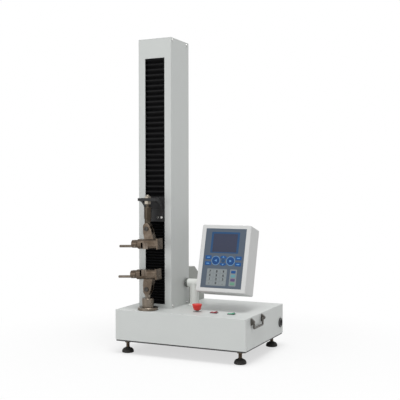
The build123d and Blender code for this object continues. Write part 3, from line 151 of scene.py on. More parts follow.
class Finish(Shading):
    """A material whose surface is worked out by nodes around one Principled shader."""

    def __init__(self, name, **settings):
        self.name = name
        self.material = bpy.data.materials.new(name)
        self.material.use_nodes = True
        super().__init__(self.material.node_tree)
        self.shader = self.tree.nodes["Principled BSDF"]
        for label, value in settings.items():
            self.shader.inputs[label.replace("_", " ")].default_value = value
        self.place = self.node("ShaderNodeTexCoord", output="Object")

    def clamp(self, signal):
        return self.node("ShaderNodeClamp", inputs={"Value": signal})

    def mix(self, mask, plain, marked):
        """Colour that goes from plain to marked where the mask rises."""
        return self.node(
            "ShaderNodeMix", {"data_type": "RGBA"}, {0: mask, 6: plain, 7: marked}, output=2
        )

    def placed(self, stretch=(1, 1, 1)):
        """Object coordinates, stretched to draw a pattern out along one direction."""
        return self.node("ShaderNodeMapping", inputs={"Vector": self.place, "Scale": stretch})

    def noise(self, scale, detail=3.0, roughness=0.55, stretch=(1, 1, 1)):
        return self.node(
            "ShaderNodeTexNoise",
            inputs={
                "Vector": self.placed(stretch),
                "Scale": scale,
                "Detail": detail,
                "Roughness": roughness,
            },
        )

    def grains(self, scale):
        return self.node(
            "ShaderNodeTexVoronoi", inputs={"Vector": self.place, "Scale": scale}, output="Distance"
        )

    def ramp(self, signal, *stops):
        return self.node("ShaderNodeValToRGB", {"stops": stops}, {"Fac": signal})

    def edges(self, radius):
        """1 on sharp outer and inner edges, 0 on flats."""
        softened = self.node("ShaderNodeBevel", {"samples": 4}, {"Radius": radius})
        actual = self.node("ShaderNodeNewGeometry", output="Normal")
        alike = self.node(
            "ShaderNodeVectorMath", {"operation": "DOT_PRODUCT"}, {0: softened, 1: actual}, output=1
        )
        return self.ramp(1 - alike, (0.01, 0), (0.12, 1))

    def corner_shade_mask(self, reach):
        """Mask for painted shade: 1 in narrow corners and under overhangs, 0 in the open."""
        openness = self.node(
            "ShaderNodeAmbientOcclusion", {"samples": 8}, {"Distance": reach}, output="AO"
        )
        return self.ramp(1 - openness, (0.25, 0), (0.85, 1))

    def surface(self, colour, roughness=None, metallic=None, height=None, distance=0.1 * MM, strength=1.0):
        """Feeds the shader with what changes over the surface."""
        for label, value in {"Base Color": colour, "Roughness": roughness, "Metallic": metallic}.items():
            if value is not None:
                self.feed(self.shader.inputs[label], value)
        if height is not None:
            relief = self.node(
                "ShaderNodeBump", inputs={"Height": height, "Distance": distance, "Strength": strength}
            )
            self.feed(self.shader.inputs["Normal"], relief)
        return self


# Finishes
def powder_coat(name, colour, roughness=0.42):
    """Baked powder paint: fine orange peel, faint tone drift and a few dull specks."""
    finish = Finish(name, Specular_IOR_Level=0.45)
    drift = finish.noise(9, detail=4)
    peel = finish.noise(1100, detail=2, roughness=0.4)
    specks = finish.ramp(finish.noise(5200, detail=1), (0.66, 0), (0.74, 1))
    tone = finish.mix(drift, toned(colour, 1, lift=-6), srgb(*colour))
    return finish.surface(
        colour=finish.mix(specks * 0.18, tone, toned(colour, 0.8)),
        roughness=roughness - 0.05 + drift * 0.1 + peel * 0.05,
        height=peel,
        distance=0.06 * MM,
        strength=0.35,
    )


def worn_enamel(name, colour, bare, wear, roughness=0.38):
    """Dark enamel rubbed back to metal along its edges."""
    finish = Finish(name, Specular_IOR_Level=0.5)
    drift = finish.noise(60, detail=5)
    rubbed = finish.ramp(finish.noise(420, detail=6), (0.42, 0), (0.6, 1))
    rub = finish.clamp(finish.edges(0.5 * MM) * rubbed * wear)
    smears = finish.noise(35, detail=4, stretch=(1, 1, 4))
    tone = finish.mix(drift, srgb(*colour), toned(colour, 1.5, lift=4))
    return finish.surface(
        colour=finish.mix(rub, tone, srgb(*bare)),
        roughness=finish.clamp(roughness + smears * 0.14 - rub * 0.12),
        metallic=rub * 0.85,
        height=finish.noise(1400, detail=2),
        distance=0.05 * MM,
        strength=0.3,
    )


def machined_steel(name, colour, grain=(1, 1, 1), roughness=0.3, stain=0.45):
    """Plated steel: fine tool marks along one direction, brownish handling stains, a painted highlight
    along the edges and painted shade in corners.
    """
    finish = Finish(name, Metallic=1.0)
    marks = finish.noise(900, detail=4, roughness=0.7, stretch=grain)
    cloud = finish.ramp(finish.noise(55, detail=6, roughness=0.6), (0.38, 0), (0.68, 1))
    pits = finish.ramp(finish.noise(1500, detail=3), (0.64, 0), (0.72, 1))
    painted_edge_glint = finish.edges(0.35 * MM)
    tone = finish.mix(finish.clamp(cloud * stain), srgb(*colour), oil_and_shade_tone(colour, 0.62))
    tone = finish.mix(marks * 0.22, tone, toned(colour, 1.18))
    # painted highlight: the edges are made paler, as if they caught the light
    tone = finish.mix(finish.clamp(painted_edge_glint * 0.6), tone, toned(colour, 1.45, lift=16))
    return finish.surface(
        # painted shade: darker and browner in corners and under overhangs
        colour=finish.mix(finish.corner_shade_mask(7 * MM) * 0.75, tone, oil_and_shade_tone(colour, 0.24)),
        roughness=finish.clamp(roughness - 0.06 + marks * 0.12 + cloud * 0.14 + pits * 0.15 - painted_edge_glint * 0.08),
        height=marks * 0.7 - pits * 0.5,
        distance=0.04 * MM,
        strength=0.4,
    )


def moulded_plastic(name, colour, roughness=0.45, gloss=0.0, relief=0.3):
    """Moulded plastic with a spark-eroded grain and a faint drift in tone and shine."""
    finish = Finish(name, Coat_Weight=gloss, Coat_Roughness=0.12)
    texture = finish.grains(1800)
    drift = finish.noise(14, detail=3)
    return finish.surface(
        colour=finish.mix(drift, toned(colour, 0.96), srgb(*colour)),
        roughness=finish.clamp(roughness - 0.04 + drift * 0.08 + texture * 0.08),
        height=texture,
        distance=0.05 * MM,
        strength=relief,
    )


def pleated_cloth(name):
    """Rubber-proofed fabric of the bellows: tight weave, some dust, and a painted sheen that greys the
    front crests of the folds.
    """
    finish = Finish(name, Specular_IOR_Level=0.2)
    across, along = (
        finish.node(
            "ShaderNodeTexWave",
            {"bands_direction": direction},
            {"Vector": finish.place, "Scale": 420.0, "Distortion": 0.6},
        )
        for direction in ("X", "Z")
    )
    weave = across * along
    dust = finish.ramp(finish.noise(70, detail=6), (0.45, 0), (0.8, 1))
    crest_depth = 2.5 * MM
    painted_crest_sheen = finish.node(
        "ShaderNodeMapRange",
        {"interpolation_type": "SMOOTHSTEP"},
        {
            "Value": finish.node("ShaderNodeSeparateXYZ", inputs={0: finish.place}, output="Y"),
            "From Min": BELLOWS_FRONT + crest_depth,
            "From Max": BELLOWS_FRONT,
        },
    )
    # random dust greys the cloth; the front crests of the folds get a painted sheen
    tone = finish.mix(finish.clamp(dust * 0.16 + painted_crest_sheen * 0.3), srgb(5, 5, 6), srgb(38, 38, 40))
    return finish.surface(
        colour=finish.mix(weave * 0.15, tone, srgb(18, 18, 19)),
        roughness=finish.clamp(0.62 - painted_crest_sheen * 0.14 + dust * 0.1),
        height=weave,
        distance=0.12 * MM,
        strength=0.5,
    )


def film(name, colour):
    """Printed polyester overlay: almost even colour under a finely embossed face."""
    finish = Finish(name, Specular_IOR_Level=0.3)
    emboss = finish.grains(2600)
    drift = finish.noise(30, detail=3)
    return finish.surface(
        colour=finish.mix(finish.clamp(drift * 0.3), srgb(*colour), toned(colour, 0.95)),
        roughness=finish.clamp(0.5 + emboss * 0.1 - drift * 0.06),
        height=emboss,
        distance=0.03 * MM,
        strength=0.25,
    )


def display_face(name):
    """Unlit liquid-crystal window: dark violet-blue cells, a little paler towards its top."""
    finish = Finish(name, Specular_IOR_Level=0.25)
    cells = finish.node(
        "ShaderNodeTexBrick",
        {"offset": 0.0},
        {
            "Vector": finish.place,
            "Scale": 900.0,
            "Mortar Size": 0.08,
            "Color1": srgb(52, 56, 78),
            "Color2": srgb(56, 56, 78),
            "Mortar": srgb(46, 52, 70),
        },
    )
    window_foot, window_head = 280 * MM, 360 * MM
    fade = finish.node(
        "ShaderNodeMapRange",
        inputs={
            "Value": finish.node("ShaderNodeSeparateXYZ", inputs={0: finish.place}, output="Z"),
            "From Min": window_foot,
            "From Max": window_head,
            "To Max": 0.5,
        },
    )
    return finish.surface(
        colour=finish.mix(fade, cells, srgb(56, 63, 86)),
        roughness=0.3 + finish.noise(40) * 0.08,
        height=finish.noise(300),
        distance=0.01 * MM,
        strength=0.2,
    )


def rubber(name, colour):
    """Matt rubber with a pale bloom."""
    finish = Finish(name, Specular_IOR_Level=0.3)
    bloom = finish.noise(120, detail=6)
    return finish.surface(
        colour=finish.mix(bloom, srgb(*colour), toned(colour, 1.35, lift=6)),
        roughness=finish.clamp(0.63 + bloom * 0.15),
        height=finish.grains(1500),
        distance=0.08 * MM,
        strength=0.35,
    )


def circuit_board(name):
    """Green board with paler tracks and tinned spots."""
    finish = Finish(name, Coat_Weight=0.3, Coat_Roughness=0.2)
    tracks = finish.node(
        "ShaderNodeTexBrick",
        {"offset": 0.5},
        {
            "Vector": finish.place,
            "Scale": 120.0,
            "Mortar Size": 0.05,
            "Color1": srgb(28, 84, 52),
            "Color2": srgb(24, 74, 46),
            "Mortar": srgb(60, 120, 80),
        },
    )
    spots = finish.ramp(finish.grains(260), (0.12, 1), (0.2, 0))
    return finish.surface(
        colour=finish.mix(spots * 0.6, tracks, srgb(190, 180, 120)),
        roughness=0.4 + spots * 0.1,
        height=spots,
        strength=0.4,
    )


ENAMEL_WHITE = (202, 205, 203)
ALONG_X = (0.15, 1, 1)
ALONG_Y = (1, 0.15, 1)
ALONG_Z = (1, 1, 0.1)
ROUND_Z = (0.2, 0.2, 1.6)

finishes = {
    finish.name: finish.material
    for finish in (
        powder_coat("column_white", ENAMEL_WHITE),
        powder_coat("base_white", ENAMEL_WHITE),
        # paler than the other white paint: painted light that makes up for the shade the post and barrel
        # stand in
        powder_coat("fitting_white", (238, 240, 236), roughness=0.36),
        powder_coat("housing_grey", (162, 164, 159), roughness=0.5),
        powder_coat("carriage_grey", (20, 20, 22), roughness=0.6),
        worn_enamel("plate_black", (34, 34, 34), bare=(120, 118, 112), wear=0.2),
        worn_enamel("bracket_black", (8, 8, 9), bare=(96, 94, 90), wear=0.25, roughness=0.5),
        machined_steel("clamp_steel", (98, 88, 78), ALONG_X, roughness=0.24, stain=0.7),
        machined_steel("jaw_steel", (108, 99, 90), ALONG_Y, roughness=0.24, stain=0.6),
        machined_steel("lever_steel", (112, 104, 95), (0.1, 1, 1), roughness=0.26),
        machined_steel("adaptor_steel", (78, 71, 62), ROUND_Z, roughness=0.25, stain=0.6),
        machined_steel("seat_steel", (126, 118, 108), ROUND_Z, roughness=0.27, stain=0.55),
        machined_steel("bright_plate", (206, 206, 204), roughness=0.2, stain=0.15),
        machined_steel("nut_plate", (140, 134, 124), roughness=0.26, stain=0.4),
        machined_steel("handle_plate", (104, 102, 98), roughness=0.34, stain=0.4),
        machined_steel("stud_steel", (92, 80, 68), roughness=0.4, stain=0.5),
        machined_steel("dark_steel", (74, 71, 68), roughness=0.36, stain=0.4),
        machined_steel("ground_steel", (190, 190, 190), ALONG_Z, roughness=0.2, stain=0.1),
        machined_steel("zinc_sheet", (170, 172, 170), roughness=0.42, stain=0.2),
        machined_steel("milled_aluminium", (196, 197, 198), (0.2, 1, 1), roughness=0.34, stain=0.08),
        machined_steel("bronze", (176, 136, 78), roughness=0.4, stain=0.3),
        pleated_cloth("bellows_cloth"),
        rubber("foot_black", (34, 33, 31)),
        rubber("belt_black", (22, 22, 22)),
        moulded_plastic("box_plastic", (208, 209, 208)),
        moulded_plastic("black_plastic", (24, 24, 25), roughness=0.4, gloss=0.2),
        moulded_plastic("knob_grey", (112, 116, 112), roughness=0.4),
        moulded_plastic("collar_grey", (168, 170, 168), roughness=0.4),
        moulded_plastic("stop_red", (216, 40, 32), roughness=0.42, gloss=0.12, relief=0.1),
        moulded_plastic("rocker_red", (168, 36, 52), roughness=0.3, gloss=0.4, relief=0.1),
        moulded_plastic("rocker_green", (74, 172, 132), roughness=0.3, gloss=0.4, relief=0.1),
        film("overlay_grey", (80, 91, 104)),
        film("overlay_pad", (128, 135, 138)),
        film("overlay_key", (134, 141, 143)),
        film("overlay_blue", (24, 76, 134)),
        film("overlay_deep_blue", (16, 66, 122)),
        film("overlay_frame_blue", (34, 72, 112)),
        film("overlay_sky", (100, 152, 200)),
        film("overlay_teal", (96, 146, 156)),
        film("overlay_purple", (92, 74, 112)),
        film("overlay_green", (98, 146, 124)),
        film("overlay_ink", (30, 32, 38)),
        display_face("display_face"),
        circuit_board("circuit_board"),
    )
}


# Pieces dressed from the CAD
def add_piece(name, mesh, finish, body):
    """Puts a finished mesh in the scene with its material, on the body it moves with."""
    piece = bpy.data.objects.new(name, mesh)
    bpy.context.scene.collection.objects.link(piece)
    mesh.materials.clear()
    mesh.materials.append(finishes[finish])
    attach(piece, body)
    return piece


def bake_modifiers(piece):
    """Works a piece's modifiers into its mesh."""
    bpy.context.view_layer.update()
    depsgraph = bpy.context.evaluated_depsgraph_get()
    mesh = bpy.data.meshes.new_from_object(piece.evaluated_get(depsgraph))
    piece.modifiers.clear()
    old = piece.data
    piece.data = mesh
    bpy.data.meshes.remove(old)


def smooth_by_angle(mesh, degrees):
    """Shades a mesh smooth, except across edges that turn more than the given angle."""
    mesh.shade_smooth()
    mesh.set_sharp_from_angle(angle=math.radians(degrees))


def dress(node, finish, edge, turn_angle=34):
    """Takes a CAD node's place with a joined-up copy: softened edges, large faces shaded flat."""
    weld_distance, coplanar_angle = 0.002 * MM, 0.6
    crease_before, crease_after = 60, 46
    mesh = nodes[node].data.copy()
    shape = bmesh.new()
    shape.from_mesh(mesh)
    bmesh.ops.remove_doubles(shape, verts=shape.verts, dist=weld_distance)
    bmesh.ops.dissolve_limit(
        shape,
        angle_limit=math.radians(coplanar_angle),
        verts=shape.verts,
        edges=shape.edges,
        use_dissolve_boundaries=False,
    )
    bmesh.ops.recalc_face_normals(shape, faces=shape.faces)
    shape.to_mesh(mesh)
    shape.free()
    piece = add_piece("dressed_" + node, mesh, finish, body_of_node[node])
    if edge:
        smooth_by_angle(mesh, crease_before)
        bevel = piece.modifiers.new("soft_edges", "BEVEL")
        bevel.width = edge
        bevel.segments = 2
        bevel.limit_method = "ANGLE"
        bevel.angle_limit = math.radians(turn_angle)
        bake_modifiers(piece)
    smooth_by_angle(piece.data, crease_after)
    weights = piece.modifiers.new("flat_faces", "WEIGHTED_NORMAL")
    weights.keep_sharp = True
    bake_modifiers(piece)
    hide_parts(node)
    return piece


# Finish and edge rounding in millimetres; the round bars of the handles have no edges
for node, finish, edge in (
    ("base_housing", "base_white", 0.5),
    ("base_plate", "plate_black", 0.4),
    ("column_front_panel", "column_white", 0.5),
    ("column_side_panels", "column_white", 0.5),
    ("column_cap", "column_white", 0.3),
    ("foot_lock_nuts", "stud_steel", 0.3),
    ("carriage", "carriage_grey", 0.5),
    ("crosshead_bracket", "bracket_black", 0.5),
    ("bracket_bolts", "bright_plate", 0.25),
    ("upper_adaptor", "adaptor_steel", 0.3),
    ("adaptor_nuts", "nut_plate", 0.3),
    ("lower_clamp_seat", "seat_steel", 0.4),
    ("control_post", "fitting_white", 0.3),
    ("hinge_barrel", "fitting_white", 0.3),
    ("tilt_knob", "knob_grey", 0.3),
    ("control_box_bezel", "box_plastic", 0.3),
    ("keypad_membrane", "overlay_grey", 0.1),
    ("switch_bodies", "black_plastic", 0.3),
    ("red_rocker", "rocker_red", 0.3),
    ("green_rocker", "rocker_green", 0.3),
    ("handle_ears", "handle_plate", 0.3),
    ("side_handle_left", "handle_plate", 0),
    ("side_handle_right", "handle_plate", 0),
    ("power_inlet", "black_plastic", 0.25),
):
    dress(node, finish, edge * MM)

# Folded and moulded housings whose slopes meet at small angles
dress("control_box_shell", "box_plastic", 0.4 * MM, turn_angle=10)
dress("drive_housing", "housing_grey", 0.6 * MM, turn_angle=10)

for side in ("upper", "lower"):
    dress(f"{side}_clamp_body", "clamp_steel", 0.5 * MM)
    dress(f"{side}_clamp_pin", "dark_steel", 0.3 * MM)
    dress(f"{side}_fixed_jaw", "jaw_steel", 0.3 * MM)
    dress(f"{side}_moving_jaw", "jaw_steel", 0.3 * MM)
    dress(f"{side}_clamp_lever", "lever_steel", 0.3 * MM)


# Turned pieces
def turned(name, profile, centre, body, lower_finish, upper_finish, split):
    """A turned piece from (radius, height) points in millimetres, in two finishes that meet at split."""
    sides = 64
    shape = bmesh.new()
    rings = []
    for radius, height in profile:
        if radius == 0:
            rings.append([shape.verts.new((centre[0], centre[1], height * MM))])
            continue
        ring = []
        for step in range(sides):
            angle = 2 * math.pi * step / sides
            x = centre[0] + radius * MM * math.cos(angle)
            y = centre[1] + radius * MM * math.sin(angle)
            ring.append(shape.verts.new((x, y, height * MM)))
        rings.append(ring)
    for (_, low), first, after in zip(profile, rings, rings[1:]):
        for step in range(sides):
            following = (step + 1) % sides
            corners = [
                first[step % len(first)],
                first[following % len(first)],
                after[following % len(after)],
                after[step % len(after)],
            ]
            face = shape.faces.new(list(dict.fromkeys(corners)))
            face.material_index = 1 if low >= split else 0
    bmesh.ops.recalc_face_normals(shape, faces=shape.faces)
    mesh = bpy.data.meshes.new(name)
    shape.to_mesh(mesh)
    shape.free()
    finish_of_face = [polygon.material_index for polygon in mesh.polygons]
    piece = add_piece(name, mesh, lower_finish, body)
    mesh.materials.append(finishes[upper_finish])
    mesh.polygons.foreach_set("material_index", finish_of_face)
    smooth_by_angle(mesh, 38)
    return piece


def shoulder(radius, low, high, inner, steps=10):
    """Points of a rounded shoulder that rises from its rim to an inner radius."""
    return [
        (
            inner + (radius - inner) * math.cos(math.pi / 2 * step / steps),
            low + (high - low) * math.sin(math.pi / 2 * step / steps),
        )
        for step in range(steps + 1)
    ]


def levelling_foot(corner, place):
    """A moulded pad under a threaded stud."""
    node = "foot_" + corner
    pad_top = 15.5
    stud_radius, thread_depth, thread_step = 5.0, 0.35, 0.75
    pad = [(0, 0), (15.4, 0), (16.6, 0.6), *shoulder(17.0, 2.6, 13.2, 7.2), (6.6, 13.5), (6.4, pad_top)]
    thread = [
        (stud_radius - thread_depth * (turn % 2), pad_top + 0.1 + thread_step * turn) for turn in range(50)
    ]
    stud_end = [(4.2, 53.5), (0, 53.6)]
    piece = turned(
        node + "_pad_and_stud", pad + thread + stud_end, place, body_of_node[node],
        "foot_black", "stud_steel", split=pad_top,
    )
    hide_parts(node)


for corner, place in zip(("front_left", "back_left", "front_right", "back_right"), FOOT_PLACES):
    levelling_foot(corner, place)


def emergency_stop():
    """A red head that widens upwards, on a grey stem over a low collar."""
    low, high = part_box("estop_button")
    axis = ((low.x + high.x) / 2, (low.y + high.y) / 2)
    stem_foot = low.z / MM
    head_foot = BASE_TOP / MM + 5.4
    head_top = high.z / MM
    stem = [(0, stem_foot), (4.8, stem_foot), (4.9, head_foot)]
    head = [
        (9.2, head_foot),
        (9.7, head_foot + 0.4),
        (13.6, head_top - 2.6),
        *shoulder(14.0, head_top - 1.9, head_top - 0.5, 12.2, steps=6),
        (7.0, head_top - 0.2),
        (0, head_top),
    ]
    piece = turned(
        "estop_head", stem + head, axis, body_of_node["estop_button"],
        "knob_grey", "stop_red", split=head_foot,
    )
    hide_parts("estop_button")

    collar_radius = 10 * MM
    collar = dress("estop_body", "collar_grey", 0.2 * MM)
    for vertex in collar.data.vertices:
        if vertex.co.z > BASE_TOP:
            vertex.co.z = BASE_TOP + (vertex.co.z - BASE_TOP) * 0.45
            reach = Vector((vertex.co.x - axis[0], vertex.co.y - axis[1]))
            if reach.length > collar_radius:
                reach *= collar_radius / reach.length
                vertex.co.x, vertex.co.y = axis[0] + reach.x, axis[1] + reach.y


emergency_stop()


def widen_lock_knob():
    """Widens the grip of the lock knob, which is wider in the photo than in the CAD."""
    grip_length, widening = 6.5 * MM, 1.35
    knob = bpy.data.objects["dressed_tilt_knob"]
    low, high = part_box("tilt_knob")
    axis_y, axis_z = (low.y + high.y) / 2, (low.z + high.z) / 2
    for vertex in knob.data.vertices:
        if vertex.co.x < low.x + grip_length:
            vertex.co.y = axis_y + (vertex.co.y - axis_y) * widening
            vertex.co.z = axis_z + (vertex.co.z - axis_z) * widening


widen_lock_knob()

# CAD nodes that keep their own mesh, most of them inside the column and the base
for node, finish in {
    "column_frame": "housing_grey",
    "guide_rods": "ground_steel",
    "screw_end_blocks": "milled_aluminium",
    "screw_bearings": "ground_steel",
    "ball_screw": "ground_steel",
    "driven_pulley": "milled_aluminium",
    "motor_pulley": "milled_aluminium",
    "timing_belt": "belt_black",
    "drive_motor": "dark_steel",
    "power_supply": "zinc_sheet",
    "carriage_bushes": "bronze",
    "ball_nut": "ground_steel",
    "load_cell": "milled_aluminium",
    "display": "display_face",
    "control_board": "circuit_board",
    "column_screws": "bright_plate",
}.items():
    mesh = nodes[node].data
    if not mesh.materials:
        mesh.materials.append(finishes[finish])
    for slot in nodes[node].material_slots:
        slot.material = finishes[finish]


# Geometry node trees
class Grower:
    """Builds a Geometry Nodes tree: named inputs first, then nodes wired by name."""

    def __init__(self, name, **inputs):
        self.tree = bpy.data.node_groups.new(name, "GeometryNodeTree")
        self.tree.interface.new_socket("Geometry", in_out="OUTPUT", socket_type="NodeSocketGeometry")
        self.identifiers = {}
        for label, (kind, value) in inputs.items():
            socket = self.tree.interface.new_socket(label, in_out="INPUT", socket_type="NodeSocket" + kind)
            socket.default_value = value
            self.identifiers[label] = socket.identifier
        self.entry = self.tree.nodes.new("NodeGroupInput")

    def given(self, label):
        return self.entry.outputs[label]

    def node(self, kind, settings=None, inputs=None, output=0):
        made = self.tree.nodes.new(kind)
        for label, value in (settings or {}).items():
            setattr(made, label, value)
        for label, value in (inputs or {}).items():
            for one in value if isinstance(value, list) else [value]:
                if isinstance(one, bpy.types.NodeSocket):
                    self.tree.links.new(one, made.inputs[label])
                else:
                    made.inputs[label].default_value = one
        return made.outputs[output]

    def math(self, operation, first, second=0.0, third=0.0):
        return self.node("ShaderNodeMath", {"operation": operation}, {0: first, 1: second, 2: third})

    def vector(self, x, y, z):
        return self.node("ShaderNodeCombineXYZ", inputs={0: x, 1: y, 2: z})

    def finish(self, geometry, material):
        real = self.node("GeometryNodeRealizeInstances", inputs={0: geometry})
        painted = self.node("GeometryNodeSetMaterial", inputs={0: real, "Material": material})
        leave = self.tree.nodes.new("NodeGroupOutput")
        self.tree.links.new(painted, leave.inputs[0])


def grow(grower, name, finish, body, **values):
    """Runs a tree with the given inputs and keeps its result as a plain mesh piece."""
    piece = bpy.data.objects.new(name, bpy.data.meshes.new(name + "_seed"))
    bpy.context.scene.collection.objects.link(piece)
    modifier = piece.modifiers.new("grower", "NODES")
    modifier.node_group = grower.tree
    for label, value in values.items():
        modifier[grower.identifiers[label]] = value
    bake_modifiers(piece)
    shape = bmesh.new()
    shape.from_mesh(piece.data)
    bmesh.ops.remove_doubles(shape, verts=shape.verts, dist=0.0005 * MM)
    bmesh.ops.recalc_face_normals(shape, faces=shape.faces)
    shape.to_mesh(piece.data)
    shape.free()
    piece.data.materials.clear()
    piece.data.materials.append(finishes[finish])
    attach(piece, body)
    return piece


def pleat_grower():
    """A folded cloth: a grid whose rows swing between the front and back fold lines."""
    tree = Grower(
        "pleats",
        Pleats=("Int", 20),
        Foot=("Float", 0.0),
        Head=("Float", 400 * MM),
        Width=("Float", 76 * MM),
        Front=("Float", BELLOWS_FRONT),
        Depth=("Float", 9.5 * MM),
        Thickness=("Float", 0.9 * MM),
        Middle=("Float", COLUMN_X),
    )
    rows_per_pleat = 12
    rows = tree.math("MULTIPLY_ADD", tree.given("Pleats"), rows_per_pleat, 1)
    grid = tree.node(
        "GeometryNodeMeshGrid",
        inputs={"Size X": 1.0, "Size Y": 1.0, "Vertices X": 15, "Vertices Y": rows},
    )
    across = tree.node("ShaderNodeSeparateXYZ", inputs={0: tree.node("GeometryNodeInputPosition")})
    share = tree.math("ADD", across.node.outputs["Y"], 0.5)
    phase = tree.math("MULTIPLY", share, tree.given("Pleats"))

    # Folds: straight slopes rounded by a cosine
    straight = tree.math("PINGPONG", tree.math("MULTIPLY", phase, 2.0), 1.0)
    cosine = tree.math("COSINE", tree.math("MULTIPLY", phase, 2 * math.pi))
    rounded = tree.math("MULTIPLY_ADD", cosine, -0.5, 0.5)
    wave = tree.math("ADD", tree.math("MULTIPLY", straight, 0.6), tree.math("MULTIPLY", rounded, 0.4))

    # Slack from fold to fold, and a sag in the middle of each
    unevenness = tree.node(
        "ShaderNodeTexNoise",
        {"noise_dimensions": "3D"},
        {"Vector": tree.vector(across, phase, 3.7), "Scale": 1.3, "Detail": 2.0},
    )
    slack = tree.math("MULTIPLY", unevenness, 0.9 * MM)
    middle_share = tree.math("SUBTRACT", 0.25, tree.math("MULTIPLY", across, across))
    sag = tree.math("MULTIPLY", tree.math("MULTIPLY", middle_share, 1.6 * MM), wave)

    x = tree.math("MULTIPLY_ADD", across, tree.given("Width"), tree.given("Middle"))
    y = tree.math("MULTIPLY_ADD", wave, tree.given("Depth"), tree.given("Front"))
    height = tree.math("SUBTRACT", tree.given("Head"), tree.given("Foot"))
    z = tree.math("MULTIPLY_ADD", share, height, tree.given("Foot"))
    sheet = tree.node(
        "GeometryNodeSetPosition",
        inputs={
            "Geometry": grid,
            "Position": tree.vector(x, tree.math("ADD", y, slack), tree.math("SUBTRACT", z, sag)),
        },
    )
    lining = tree.node(
        "GeometryNodeExtrudeMesh",
        inputs={
            "Mesh": sheet,
            "Offset": tree.vector(0.0, 1.0, 0.0),
            "Offset Scale": tree.given("Thickness"),
            "Individual": False,
        },
    )
    closed = tree.node("GeometryNodeJoinGeometry", inputs={0: [sheet, lining]})
    tree.finish(closed, finishes["bellows_cloth"])
    return tree


def stretching_bellows(side, pleats):
    """Bellows in the CAD node's place, as a plain mesh with no parent."""
    low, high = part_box("bellows_" + side)
    piece = grow(
        pleat_tree, side + "_bellows", "bellows_cloth", "frame",
        Pleats=pleats, Foot=low.z, Head=high.z, Front=low.y,
    )
    smooth_by_angle(piece.data, 50)
    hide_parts("bellows_" + side)
    piece.parent = None
    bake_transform(piece)


pleat_tree = pleat_grower()
stretching_bellows("upper", 29)
stretching_bellows("lower", 30)

# Operating panel, in the plane of the box's face: x across, y up the face, z outwards
FACE_FOOT_Y, FACE_FOOT_Z = -69 * MM, 180.5 * MM
face_left, face_right = (corner.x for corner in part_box("control_box_bezel"))
face_foot = Vector(((face_left + face_right) / 2, FACE_FOOT_Y, FACE_FOOT_Z))
panel_frame = Matrix.Translation(face_foot) @ Matrix(
    (
        (1, 0, 0, 0),
        (0, math.sin(BOX_TILT), -math.cos(BOX_TILT), 0),
        (0, math.cos(BOX_TILT), math.sin(BOX_TILT), 0),
        (0, 0, 0, 1),
    )
)


# Outlines run anticlockwise, in millimetres on the panel
def rounded_outline(x0, y0, x1, y1, radius, steps=6):
    corners = (
        (x1 - radius, y1 - radius, 0),
        (x0 + radius, y1 - radius, 90),
        (x0 + radius, y0 + radius, 180),
        (x1 - radius, y0 + radius, 270),
    )
    outline = []
    for cx, cy, start in corners:
        for step in range(steps + 1):
            angle = math.radians(start + 90 * step / steps)
            outline.append((cx + radius * math.cos(angle), cy + radius * math.sin(angle)))
    return outline


def round_outline(cx, cy, radius, steps=40):
    angles = [2 * math.pi * step / steps for step in range(steps)]
    return [(cx + radius * math.cos(angle), cy + radius * math.sin(angle)) for angle in angles]


def sector_outline(cx, cy, inner, outer, start, stop, steps=14):
    """Outline of a piece of a ring."""
    angles = [math.radians(start + (stop - start) * step / steps) for step in range(steps + 1)]
    return [(cx + outer * math.cos(a), cy + outer * math.sin(a)) for a in angles] + [
        (cx + inner * math.cos(a), cy + inner * math.sin(a)) for a in reversed(angles)
    ]


def arrow_outline(base, tip, half_width):
    """A triangle from the middle of its base to its tip."""
    way = (Vector(tip) - Vector(base)).normalized() * half_width
    return [(base[0] - way.y, base[1] + way.x), (base[0] + way.y, base[1] - way.x), tip]


def panel_shapes(name, outlines, low, high, finish, pillow=0.0, holes=None):
    """Keys on the panel, from low to high in millimetres: flat, pillowed or with a hole each."""
    shape = bmesh.new()

    def ring(outline, height):
        return [shape.verts.new((x * MM, y * MM, height * MM)) for x, y in outline]

    def wall(first, second):
        for i, start in enumerate(first):
            j = (i + 1) % len(first)
            shape.faces.new((start, first[j], second[j], second[i]))

    for index, outline in enumerate(outlines):
        base, top = ring(outline, low), ring(outline, high)
        wall(base, top)
        if holes:
            base_hole, top_hole = ring(holes[index], low), ring(holes[index], high)
            wall(top, top_hole)
            wall(top_hole, base_hole)
            wall(base_hole, base)
            continue
        shape.faces.new(list(reversed(base)))
        centre_x = sum(x for x, _ in outline) / len(outline)
        centre_y = sum(y for _, y in outline) / len(outline)
        for inset, rise in ((0.12, 0.7), (0.35, 0.95)) if pillow else ():
            drawn_in = [(x + (centre_x - x) * inset, y + (centre_y - y) * inset) for x, y in outline]
            inner = ring(drawn_in, high + pillow * rise)
            wall(top, inner)
            top = inner
        shape.faces.new(top)
    bmesh.ops.recalc_face_normals(shape, faces=shape.faces)
    shape.transform(panel_frame)
    mesh = bpy.data.meshes.new(name)
    shape.to_mesh(mesh)
    shape.free()
    smooth_by_angle(mesh, 40)
    return add_piece(name, mesh, finish, "control_box")


PRINT_LOW = -0.1


def display_window():
    """The display's printed border and the cover let into its opening."""
    left, low, right, high = -37, 113.7, 37, 166.7
    gap = 0.1
    panel_shapes(
        "display_border", [rounded_outline(-43.2, 110.6, 43.2, 171.8, 2.5)],
        PRINT_LOW, 0.14, "overlay_frame_blue", holes=[rounded_outline(left, low, right, high, 0.6)],
    )
    cover = rounded_outline(left + gap, low + gap, right - gap, high - gap, 0.5)
    panel_shapes("display_cover", [cover], -1.1, -0.15, "display_face")


display_window()


